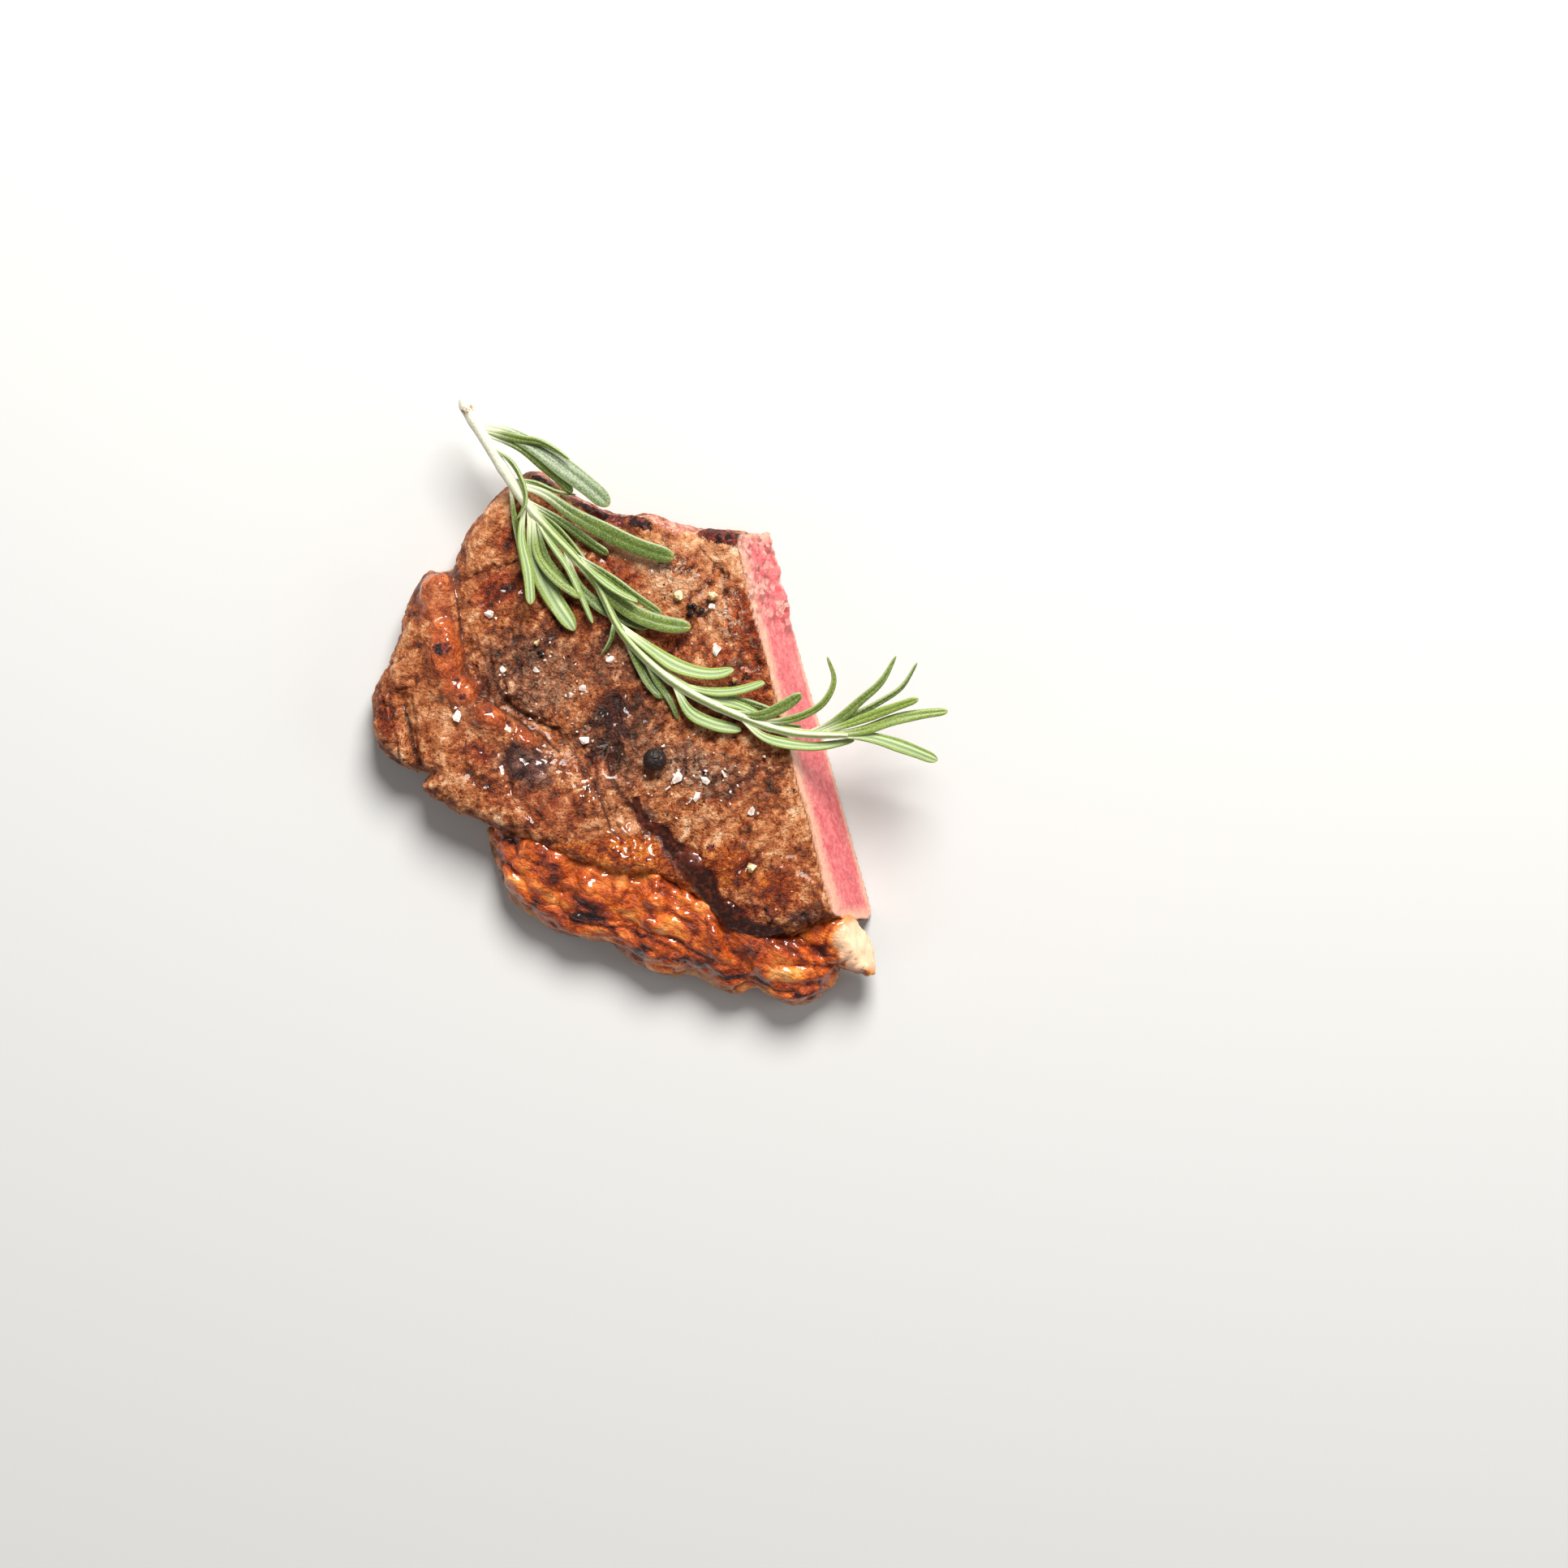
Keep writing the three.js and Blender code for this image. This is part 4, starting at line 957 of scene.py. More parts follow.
def meat_material(settings):
    """Browned crust, juices, and the pink of the cut."""
    paint = Paint("seared_meat")
    names = (
        *PATCHES, "flesh", "rim", "side", "sauce", "gold", "pit", "seam", "torn", "edge", "lines", "brim",
    )
    mask = {name: paint.mask(name) for name in names}
    tiny = paint.grain(0.45, 2, 0.7)
    fine = paint.grain(0.95, 3, 0.7, warp=0.2)
    medium = paint.grain(2.4, 4, 0.68, warp=0.5)
    broad = paint.grain(7, 3, 0.55)
    bent = paint.bent(1.4, 1.2)
    creviced = paint.cells(bent, 1.15)
    mosaic = paint.cells(bent, 1.15, "Color")
    dry = 1 - 0.6 * mask["wet"]

    # How browned it is: 0 is pale, 1 is charred. Painted shade in pits, crevices and furrows and painted
    # light on raised streaks go into it too.
    level = 0.34 + settings.bloom - 0.12 * mask["tan"] + 0.12 * mask["red"] + 0.2 * mask["dark"]
    # Darker in the pits and creases of the relief: painted shade.
    level = level + 0.08 * mask["grey"] + 0.2 * mask["pit"] + 0.06 * mask["side"] - 0.1 * mask["edge"]
    level = stirred(level, (1.15 - 0.45 * mask["tan"], medium), (0.5, broad), (0.5, fine), (0.3, tiny))
    # Lighter on raised streaks and darker in their furrows: painted light and shade that follow the relief.
    level = level - 0.22 * (mask["lines"] - 0.5) + 0.2 * mask["brim"]
    rough = (0.3 + 0.7 * mask["grey"]) * dry
    # Darker in the crevices between raised grains: partly painted shade.
    level = level + rough * (0.2 * (mosaic - 0.5) + 0.2 * (creviced - 0.42))
    specks = (stirred(fine, (0.4, tiny)) + 0.06 * mask["grey"]).between(0.6, 0.68)
    level = level + (0.2 - 0.08 * mask["tan"]) * specks
    warm = paint.shades(
        level, (0, "F8D6B4"), (0.13, "E4AC80"), (0.27, "CB8656"), (0.4, "AC5F30"), (0.54, "843B14"),
        (0.7, "521F0C"), (0.86, "2C0E07"), (1, "170705"),
    )
    grey = paint.shades(
        level, (0, "F4D6BC"), (0.13, "D9AA86"), (0.27, "B57B57"), (0.4, "94593A"), (0.54, "6E3A23"),
        (0.7, "432114"), (0.86, "26110A"), (1, "140805"),
    )
    mauve = paint.shades(
        level, (0, "CFA392"), (0.25, "82564A"), (0.42, "5A342C"), (0.58, "3C1F1B"), (0.78, "241212"),
        (1, "120809"),
    )
    greyed = (stirred(mask["grey"], (0.5, broad)) + 0.3 * mask["side"]).between(0.15, 0.8)
    crust = paint.mix(greyed, warm, grey)
    crust = paint.mix(stirred(mask["mauve"], (0.4, medium)).between(0.2, 0.8), crust, mauve)
    red = stirred(mask["red"], (0.8, medium)).between(0.15, 0.85)
    crust = paint.mix(0.75 * red, crust, linear("E09468"), "MULTIPLY")
    glaze = stirred(mask["amber"], (0.5, medium)).between(0.2, 0.8)
    amber = paint.shades(
        level, (0, "E89A4A"), (0.2, "C66A1C"), (0.34, "A24408"), (0.5, "762604"), (0.7, "401004"),
        (1, "1A0703"),
    )
    crust = paint.mix(0.95 * glaze, crust, amber)
    seam = 0.9 * stirred(mask["seam"], (1.2, fine)).between(0.3, 0.9)
    crust = paint.mix(seam, crust, linear("4A1D0C"))

    # Crisp pale flecks, partly where dry fibres stand up and partly painted highlights, and small painted
    # glints in the light patches.
    flecks_and_highlights = stirred(0.4 * mosaic + 0.6 * fine + 0.08 * mask["light"], (0.5, medium)).between(0.58, 0.66)
    crust = paint.mix((0.1 + 0.65 * mask["light"]) * flecks_and_highlights * dry, crust, linear("EAB88E"))
    glint = (stirred(fine, (0.5, tiny)) + 0.14 * mask["light"]).between(0.66, 0.72)
    crust = paint.mix(0.55 * mask["light"] * glint, crust, linear("FBE2C6"))

    raw = stirred(0.5, (1.0, fine), (0.9, medium), (0.3, mosaic))
    bare = paint.shades(
        raw, (0.2, "F0CAB4"), (0.42, "E0A08A"), (0.58, "C87A66"), (0.75, "97473A"), (0.9, "5A241C")
    )
    crust = paint.mix(stirred(mask["bare"], (0.5, medium)).between(0.2, 0.45), crust, bare)

    flushed = stirred(0.5, (1.1, medium), (0.8, fine), (0.5, broad), (0.3, tiny))
    bulge = paint.shades(
        flushed, (0.1, "F0B888"), (0.3, "DA8048"), (0.46, "BE5822"), (0.62, "903810"), (0.85, "521B08")
    )
    bulge = paint.mix(0.2, bulge, settings.bulge)
    tanned = paint.mix(medium.between(0.4, 0.6), linear("B88058"), linear("84492C"))
    bulge = paint.mix(0.7 * mask["light"], bulge, tanned)
    bulge = paint.mix(0.5 * mask["brim"], bulge, linear("7A3418"))
    crust = paint.mix(stirred(mask["bulge"], (0.7, medium)).between(0.2, 0.6), crust, bulge)

    gold = paint.shades(
        flushed, (0.1, "F2AE62"), (0.32, "D87E2C"), (0.48, "B45212"), (0.64, "802F08"), (0.85, "421305")
    )
    crust = paint.mix(stirred(mask["gold"], (0.4, medium)).between(0.25, 0.7), crust, gold)
    soaked = stirred(mask["sauce"], (0.9, medium), (0.5, broad))
    crust = paint.mix(soaked.between(0.0, 0.5), crust, paint.mix(0.85, crust, linear("A84E20"), "MULTIPLY"))
    juice = paint.mix((fine + medium - 0.5).between(0.45, 0.7), settings.juice, linear("5E2610"))
    # The juices leave off over the mauve patches, so the lump in them shows grey-mauve, partly a painted
    # reflection.
    crust = paint.mix((soaked - 0.5 * mask["mauve"]).between(0.4, 0.95), crust, juice)
    burnt = paint.mix((0.5 * tiny + 0.5 * mosaic).between(0.42, 0.62), linear("260C08"), linear("7C3024"))
    crust = paint.mix(stirred(mask["char"], (1.3, fine)).between(0.42, 0.6), crust, burnt)

    threads = paint.grain(1.3, 3, 0.65, turn=16, long=2.4)
    rare = stirred(0.5, (0.9, threads), (0.8, medium), (0.5, broad))
    pink = paint.shades(rare, (0.15, "EC9A94"), (0.38, "DE7672"), (0.54, "CC5659"), (0.75, "A83A42"))
    pink = paint.mix(0.25, pink, settings.pink)
    rim = stirred(mask["rim"], (0.5, medium), (0.2, fine))
    pale = paint.mix(rim.between(0.0, 0.2), linear("B87A54"), settings.pale)
    flesh = paint.mix(rim.between(0.2, 0.7), pale, pink)
    # Torn crumbs at the far end of the cut, pale and dark: the dark crumbs are partly painted shade.
    crumbs = paint.mix((0.5 * fine + 0.5 * mosaic).between(0.4, 0.6), linear("8C4442"), linear("DAA596"))
    flesh = paint.mix((0.9 * mask["torn"]).between(0.0, 0.8) * 0.75, flesh, crumbs)
    flesh = paint.mix(0.12 * mosaic.between(0.5, 0.7), flesh, linear("E8B4A8"))
    surface = paint.mix(mask["flesh"].between(0.3, 0.7), crust, flesh)

    wet = stirred(mask["wet"], (1.1, medium)).between(-0.05, 0.85)
    rugged = (1 - 0.7 * mask["flesh"]) * (1 - 0.85 * mask["sauce"]) * (1 - 0.4 * mask["bulge"])
    height = 0.9 * fine + 1.1 * medium + 0.35 * tiny + 0.3 * rough * (1 - creviced)
    height = height * rugged + 0.25 * threads * mask["flesh"]
    return paint.finish(
        Base_Color=surface,
        Roughness=stirred(0.52 - 0.2 * wet - 0.1 * mask["flesh"], (0.5, fine)),
        Specular_IOR_Level=0.3,
        Coat_Weight=0.04 + 0.9 * wet + 0.2 * mask["flesh"],
        Coat_Roughness=0.06,
        Subsurface_Weight=0.04,
        Subsurface_Radius=(1.0, 0.35, 0.2),
        Subsurface_Scale=0.0012,
        Normal=paint.bump(height, 1.1, 1.0),
    )


class STEAK_OT_lean_meat(bpy.types.Operator):
    """Builds the seared lean meat with its slanting cut"""

    bl_idname = "steak.lean_meat"
    bl_label = "Lean Meat"

    def execute(self, context):
        settings = context.scene.steak.meat
        rings = lean_rings(columns=480, side_steps=26, top_steps=110)
        body = sliced(mesh_from("lean_body", *loft(rings)))
        meat = even_mesh("seared_lean", [body], settings.mesh_size)
        relax(meat.data, rounds=2)
        points, normals = corner_points(meat.data), corner_normals(meat.data)
        masks = lean_masks(points, normals)
        relief, masks["pit"] = lean_relief(points, masks)
        dress(meat, points, normals, masks, relief)
        put(meat, "seared_meat", "lean_meat", material=meat_material(settings))
        return {"FINISHED"}


# ------------------------------------------------------------------------------ fat cap


def fat_rings(stations, section_steps):
    """Rings across the strip of fat, from one end of it to the other."""
    inner = smooth_line(FAT_INNER, stations)
    outer = smooth_line(FAT_OUTER, stations)
    section = smooth_line(FAT_SECTION, section_steps)
    rings = []
    for i, (start, end) in enumerate(zip(inner, outer)):
        share = i / (stations - 1)
        ripple = 1 + sum(height * math.sin(share * pace) for height, pace in FAT_RIPPLES)
        ends = min(1, 0.5 + 4 * share, 0.62 + 5 * (1 - share))
        across, up = section[:, 0], section[:, 1]
        height = np.clip(up, 0, 1) * FAT_HEIGHT * np.where(up > 0.5, ripple, 1) * ends
        rings.append(np.column_stack([start + (end - start) * across[:, None], height]))
    return rings


def fat_tongue():
    """The egg-shaped end that the knife opens."""
    (x, y, z), (long, wide, high), roll, turn = FAT_TONGUE
    work = bmesh.new()
    place = Matrix.Translation((Vector((x, y, z)) + Vector(SHIFT)) * MM)
    lean = Matrix.Rotation(turn, 4, "Z") @ Matrix.Rotation(roll, 4, "X")
    egg = place @ lean @ Matrix.Diagonal((long * MM, wide * MM, high * MM, 1))
    bmesh.ops.create_icosphere(work, subdivisions=5, radius=1, matrix=egg)
    mesh = bpy.data.meshes.new("fat_tongue")
    work.to_mesh(mesh)
    work.free()
    return mesh


def strip_places(points):
    """Each point's place in the strip: millimetres along it and across it from the lean side, and how
    much of its width that is.
    """
    inner, outer = smooth_line(FAT_INNER, 400), smooth_line(FAT_OUTER, 400)
    middle = (inner + outer) / 2
    reach = np.concatenate([[0], np.cumsum(np.linalg.norm(np.diff(middle, axis=0), axis=1))])
    nearest = np.empty(len(points), int)
    batch = 4000
    for start in range(0, len(points), batch):
        apart = points[start : start + batch, None, :2] - middle[None]
        nearest[start : start + batch] = (apart**2).sum(axis=2).argmin(axis=1)
    width = outer[nearest] - inner[nearest]
    length = np.linalg.norm(width, axis=1)
    across = ((points[:, :2] - inner[nearest]) * width).sum(axis=1) / length
    return reach[nearest], across, across / length


def fat_masks(points, normals):
    """Numbers from 0 to 1 that say what the fat is like at each point."""
    along, across, share = strip_places(points)
    strip = np.column_stack([along, across, points[:, 2]])
    cut = ramp(facing_cut(normals) + 0.12 * cloud(points, 1.6, 2, 45), 0.72, 0.95)
    cut = cut * (1 - ramp(before_cut(points), 0.5, 1.4))
    places = points[:, :2]
    crest = np.min([distance_to_line(places, line) for line in CRISP_LINES], axis=0)
    wavering = crest + 1.3 * cloud(points, 2.0, 3, 31) + 0.35
    broken = ramp(noise(points, 4, 38), -0.5, 0.0)
    folds = np.abs(cloud(strip * (0.14, 1, 1), 3.2, 2, 39))
    cross = np.abs(cloud(strip * (0.8, 0.3, 0.3), 3.6, 2, 49))
    return {
        "cut": cut,
        "flap": patch_share(places, CREAM_FLAP, 0.9, 51) * ramp(normals[:, 2], -0.2, 0.2),
        "crest": (1 - ramp(wavering, 0.2, 0.9)) * (1 - cut) * broken,
        "crisp": patch_share(places, CRISP_PATCHES, 2.2, 32) * (1 - cut),
        "pale": patch_share(places, PALE_FAT_PATCHES, 2, 33),
        "amber": patch_share(places, AMBER_AND_HIGHLIGHT_FAT_PATCHES, 1.6, 35) * (1 - cut),
        "side": (1 - ramp(normals[:, 2], 0.15, 0.6)) * ramp(share, 0.5, 0.8),
        "fold": np.clip(1 - 6 * folds, 0, 1) * (1 - cut) * ramp(noise(points, 6, 46), -0.6, 0.1),
        "cross": np.clip(1 - 6 * cross, 0, 1) * (1 - cut) * ramp(noise(points, 5, 50), -0.2, 0.3),
        "swell": np.clip(2.2 * folds, 0, 1) * (1 - cut),
    }


def fat_relief(points, mask):
    """How far the surface stands out at each point in millimetres."""
    along, across, share = strip_places(points)
    strip = np.column_stack([along, across, points[:, 2]])
    blisters = ramp(pebbles(strip * (0.6, 1, 1), 2.2, 34), 0.4, 0.85)
    wrinkles = cloud(strip * (0.25, 1, 1), 1.5, 2, 47)
    lobes = cloud(strip * (1, 0.3, 0.3), 7, 2, 41)
    relief = 0.7 * mask["swell"] - 0.35 + 0.42 * wrinkles + 0.4 * lobes * ramp(share, 0.5, 1)
    relief = relief + 0.34 * cloud(points, 1.8, 2, 37) - 0.26 * blisters
    relief = relief - 0.3 * mask["fold"] - 0.35 * mask["cross"] + 0.25 * mask["crest"]
    dome = 0.7 * mask["cut"] * (1 + 0.6 * cloud(points, 2.4, 2, 48))
    return relief * (1 - 0.8 * np.maximum(mask["cut"], mask["flap"])) + dome


def fat_material(settings):
    """Fried, oily fat: golden, orange in its hollows and crisp on its crests."""
    paint = Paint("browned_fat")
    names = ("cut", "flap", "crest", "crisp", "pale", "amber", "side", "fold", "cross", "swell")
    mask = {name: paint.mask(name) for name in names}
    tiny = paint.grain(0.45, 2, 0.7)
    fine = paint.grain(0.95, 3, 0.7)
    medium = paint.grain(2.4, 4, 0.66, turn=-28, long=2.0, warp=0.4)
    broad = paint.grain(7, 2, 0.5)
    level = stirred(0.53 + settings.fry, (1.2, medium), (0.45, fine), (0.9, broad), (0.15, tiny))
    # Lighter on the swells between folds, painted highlights, and darker in the folds and cross creases,
    # partly painted shade.
    level = level - 0.14 * mask["pale"] - 0.16 * mask["amber"] - 0.1 * mask["swell"]
    level = level + 0.2 * mask["fold"] + 0.18 * mask["cross"] + 0.16 * mask["crisp"] + 0.36 * mask["crest"]
    fried = paint.shades(
        level, (0, "FFD29A"), (0.14, "F2A254"), (0.3, "E0762C"), (0.46, "C45516"), (0.62, "9A3A10"),
        (0.78, "66220A"), (0.9, "3A1007"), (1, "200806"),
    )
    amber = paint.shades(
        level, (0, "FFCE84"), (0.2, "F6983C"), (0.36, "E6701A"), (0.52, "C24C0C"), (0.7, "842C08"),
        (1, "2A0C05"),
    )
    # Amber patches: amber fat, partly painted highlights.
    fried = paint.mix(stirred(mask["amber"], (0.4, medium)).between(0.2, 0.7), fried, amber)
    flank = paint.shades(
        level - 0.08, (0, "F0BC84"), (0.2, "D28C4C"), (0.38, "B0662C"), (0.56, "843F18"), (0.78, "461B0A"),
    )
    flank = paint.mix(0.3, flank, settings.flank)
    fried = paint.mix(0.85 * mask["side"], fried, flank)
    cream = paint.shades(medium, (0.3, "FFE0C6"), (0.5, "FBC8A0"), (0.7, "EFA070"))
    cream = paint.mix(0.5, cream, settings.cream)
    cream = paint.mix(stirred(mask["flap"], (0.3, medium)).between(0.1, 0.6), linear("D9822E"), cream)
    opened = stirred(mask["flap"] + mask["cut"], (0.3, medium))
    surface = paint.mix(opened.between(0.15, 0.45), fried, cream)
    height = (0.45 * fine + 1.2 * medium) * (1 - 0.8 * mask["cut"]) * (1 - 0.7 * mask["flap"])
    return paint.finish(
        Base_Color=surface,
        Roughness=stirred(0.36 + 0.2 * mask["crest"], (0.4, fine)),
        Specular_IOR_Level=0.3,
        Coat_Weight=(1 - 0.7 * mask["cut"]) * (1 - 0.6 * mask["side"]),
        Coat_Roughness=0.05,
        Subsurface_Weight=0.08,
        Subsurface_Radius=(1.0, 0.5, 0.2),
        Subsurface_Scale=0.0015,
        Normal=paint.bump(height, 1.1, 1.0),
    )


class STEAK_OT_fat_cap(bpy.types.Operator):
    """Builds the browned fat cap and its cut end"""

    bl_idname = "steak.fat_cap"
    bl_label = "Fat Cap"

    def execute(self, context):
        steak = context.scene.steak
        rings = fat_rings(stations=260, section_steps=60)
        strip = sliced(mesh_from("fat_strip", *loft(rings)))
        fat = even_mesh("browned_fat_cap", [strip, sliced(fat_tongue())], steak.meat.mesh_size)
        relax(fat.data, rounds=3)
        points, normals = corner_points(fat.data), corner_normals(fat.data)
        masks = fat_masks(points, normals)
        dress(fat, points, normals, masks, fat_relief(points, masks))
        put(fat, "browned_fat", "fat_cap", material=fat_material(steak.fat))
        return {"FINISHED"}


# ------------------------------------------------------------------------------ rosemary


def stem_frame(route, index):
    """Place, direction and sideways direction at one point of the stem."""
    ahead = route[min(index + 1, len(route) - 1)] - route[max(index - 1, 0)]
    ahead = ahead / np.linalg.norm(ahead)
    across = np.cross((0, 0, 1), ahead)
    return route[index], ahead, across / np.linalg.norm(across)


def stem_mesh():
    """The stem, a slightly knobbly rod with rounded ends, and its numbers of rings and sides."""
    steps, sides = 260, 20
    route = smooth_line(STEM_LINE, steps)
    angles = np.linspace(0, 2 * math.pi, sides, endpoint=False)
    rings = []
    for i in range(steps):
        place, ahead, across = stem_frame(route, i)
        up = np.cross(ahead, across)
        share = i / (steps - 1)
        radius = np.interp(share * (len(STEM_RADII) - 1), range(len(STEM_RADII)), STEM_RADII)
        knob = 1 + 0.10 * math.exp(-(((share * 120) % 12 - 6) ** 2) / 1.5)
        round_end = math.sqrt(min(1, 0.15 + share * 60)) * math.sqrt(min(1, 0.2 + (1 - share) * 40))
        ridges = 1 + 0.05 * np.cos(4 * angles)
        reach = radius * knob * round_end * ridges
        rings.append(place + np.outer(reach * np.cos(angles), across) + np.outer(reach * np.sin(angles), up))
    return mesh_from("rosemary_stem", *loft(rings)), steps, sides


# A little over a full turn, in radians.
FULL_TURN = 6.3
# A leaf's section: share of the half width, and height as a share of the thickness. It runs along the
# grooved upper side to the rolled edge and back along the felted underside with its midrib.
LEAF_UPPER = [(-1, -0.1), (-0.97, 0.22), (-0.8, 0.45), (-0.45, 0.52), (-0.14, 0.46), (0, 0.3)]
LEAF_UNDER = [(0, -0.5), (0.16, -0.38), (0.3, -0.16), (0.62, -0.2), (0.8, -0.5), (0.96, -0.4)]


def leaf_section():
    """The whole section of a leaf, and how many of its points are on the upper side."""
    upper = LEAF_UPPER + [(-a, b) for a, b in LEAF_UPPER[-2::-1]]
    under = LEAF_UNDER[::-1] + [(-a, b) for a, b in LEAF_UNDER[1:]]
    return np.array(upper + under), len(upper)


def leaf_width(share, blunt, pointed):
    """Width along a leaf as a share of its widest: a narrow foot, a blade and a blunt or pointed tip."""
    peak = 0.66 - 0.3 * pointed
    rise = min(1, share / peak)
    foot = 0.4 + 0.6 * rise * rise * (3 - 2 * rise)
    blade = 1 - (0.12 + 0.6 * pointed) * max(0, (share - peak) / (1 - peak)) ** 1.8
    tip = math.sqrt(max(0.012, 1 - max(0, (share - 1 + blunt) / blunt) ** 2.2))
    return foot * blade * tip


def leaf_rings(row, route, stem_length, chance):
    """Rings of one leaf from its foot on the stem to its tip, and how far along each one is."""
    start, line, wide, lift, tilt, _, _, pointed = row
    place, _, _ = stem_frame(route, min(int(start / stem_length * (len(route) - 1)), len(route) - 1))
    track = smooth_line([place[:2], *line], 300)
    last = len(track) - 1
    long = np.linalg.norm(np.diff(track, axis=0), axis=1).sum()
    steps = max(16, int(long * 1.2))
    section, _ = leaf_section()
    arch, wave = chance.uniform(0.2, 0.7), chance.uniform(0, FULL_TURN)
    blunt = min(0.5, 0.85 * wide / long)
    shares = [1 - (1 - i / steps) ** 1.4 for i in range(steps + 1)]
    rings = []
    for t in shares:
        at = min(int(t * last), last - 1)
        spot = track[at] + (track[at + 1] - track[at]) * (t * last - at)
        along = np.array([*(track[at + 1] - track[at]) * last / long, lift / long])
        along = along / np.linalg.norm(along)
        across = np.cross((0, 0, 1), along)
        across = across / np.linalg.norm(across)
        roll = math.radians(tilt) * (min(1, 2 * t) if abs(tilt) < 90 else 1) + 0.12 * math.sin(5 * t + wave)
        up = np.cross(along, across)
        across, up = (
            across * math.cos(roll) + up * math.sin(roll),
            up * math.cos(roll) - across * math.sin(roll),
        )
        width = leaf_width(t, blunt, pointed)
        half = wide / 2 * width * (1 + 0.03 * math.sin(17 * t + wave))
        thick = LEAF_THICKNESS * (0.3 + 0.7 * min(1, 1.6 * width))
        reach = abs(across[2]) * half + thick / 2
        over_meat = spot @ np.array(CUT_NORMAL) < CUT_DISTANCE - 2
        floor = top_height(spot[None, :])[0] + LEAF_GAP + reach if over_meat else 0
        height = max(place[2] + lift * t + arch * math.sin(math.pi * t), floor)
        middle = np.array([*spot, height])
        rings.append(middle + np.outer(section[:, 0] * half, across) + np.outer(section[:, 1] * thick, up))
    return rings, shares


def leaves_mesh(seed):
    """All leaves in one mesh, with what its material reads."""
    route = smooth_line(STEM_LINE, 600)
    stem_length = np.linalg.norm(np.diff(route, axis=0), axis=1).sum()
    chance = random.Random(seed)
    section, upper_count = leaf_section()
    sides = len(section)
    points, faces = [], []
    numbers = {"across": [], "along": [], "under": [], "shade": [], "frost": []}
    for row in LEAVES:
        rings, shares = leaf_rings(row, route, stem_length, chance)
        ring_points, ring_faces = loft(rings)
        base = len(points)
        points.extend(ring_points)
        faces.extend(tuple(base + i for i in face) for face in ring_faces)
        count = len(shares)
        shade = row[5] + chance.uniform(-0.12, 0.12)
        numbers["across"].extend([*np.tile(np.abs(section[:, 0]), count), 0, 0])
        numbers["along"].extend([*np.repeat(shares, sides), 0, 1])
        numbers["under"].extend([*np.tile(np.arange(sides) >= upper_count, count), 0, 0])
        numbers["shade"].extend([shade] * (count * sides + 2))
        numbers["frost"].extend([row[6]] * (count * sides + 2))
    mesh = mesh_from("rosemary_leaves", points, faces)
    for name, values in numbers.items():
        keep(mesh, name, np.array(values, float))
    return mesh


def leaf_material(settings):
    """Green above with a fine pale grain and a pale edge that is partly a painted highlight, felted pale
    below between rolled green edges.
    """
    paint = Paint("rosemary_leaf")
    across, along, under, shade, frost = (
        paint.mask(name) for name in ("across", "along", "under", "shade", "frost")
    )
    fine = paint.grain(0.36, 2, 0.6)
    medium = paint.grain(2.2, 3, 0.6)
    age = stirred(shade, (0.7, medium)).between(0, 1)
    green = paint.mix(age, settings.deep_green, settings.yellow_green)
    green = paint.mix(0.4 * fine.between(0.46, 0.64), green, linear("98AA64"))
    green = paint.mix(0.45 * fine.between(0.54, 0.38), green, linear("3F501F"))
    frosted = paint.mix(fine.between(0.4, 0.64), linear("53643C"), linear("83936C"))
    green = paint.mix(0.85 * frost * medium.between(0.1, 0.5), green, frosted)
    # A pale margin along the upper face's edges, partly a painted highlight where the rolled edge catches the
    # light.
    upper = paint.mix(0.7 * across.between(0.8, 0.99), green, linear("AFBD84"))
    upper = paint.mix(0.3 * (1 - across.between(0.02, 0.16)) * (1 - frost), upper, linear("4A5D26"))
    edge = paint.mix(0.25, green, linear("A9BC6C"))
    felt = paint.mix(0.55 * fine.between(0.45, 0.65), settings.felt, linear("9DB07C"))
    felt = paint.mix(0.8 * (1 - across.between(0.06, 0.2)), felt, linear("6F8645"))
    lower = paint.mix(across.between(0.42, 0.6), felt, edge)
    surface = paint.mix(under.between(0.3, 0.7), upper, lower)
    surface = paint.mix(0.8 * (1 - along.between(0.02, 0.34)), surface, linear("E2E5C4"))
    surface = paint.mix(0.35 * along.between(0.96, 1.0), surface, linear("B9A860"))
    return paint.finish(
        Base_Color=surface,
        Roughness=0.44 + 0.3 * under,
        Coat_Weight=0.2,
        Coat_Roughness=0.22,
        Subsurface_Weight=0.05,
        Subsurface_Radius=(0.4, 1.0, 0.2),
        Subsurface_Scale=0.001,
        Normal=paint.bump(fine, 0.12, 0.8),
    )


def stem_material(settings):
    """Pale young bark, greener towards the tip, with a brown nick near its end."""
    paint = Paint("rosemary_stem")
    along = paint.mask("along")
    fine = paint.grain(0.5, 2, 0.6)
    stripe = stirred(paint.mask("stripe"), (0.5, fine))
    young = stirred(along, (0.2, stripe)).between(0.1, 0.3)
    bark = paint.mix(young, settings.bark, linear("A8B878"))
    bark = paint.mix(0.8 * young * stripe.between(0.5, 0.75), bark, linear("E8E9CE"))
    bark = paint.mix(0.6 * young * stripe.between(0.35, 0.15), bark, linear("6F8440"))
    clothed = 0.75 * (along.between(0.24, 0.3) * along.between(0.62, 0.54))
    striped = paint.mix(stripe.between(0.3, 0.8), linear("5F7434"), linear("A3B56E"))
    bark = paint.mix(clothed, bark, striped)
    bark = paint.mix(0.3 * fine.between(0.55, 0.7), bark, linear("8A7A50"))
    nick = along.between(0.016, 0.022) * along.between(0.036, 0.028) * fine.between(0.4, 0.55)
    bark = paint.mix(0.8 * nick, bark, linear("8A5A2A"))
    return paint.finish(
        Base_Color=bark,
        Roughness=0.6,
        Subsurface_Weight=0.1,
        Subsurface_Scale=0.001,
        Normal=paint.bump(fine, 0.2, 0.7),
    )


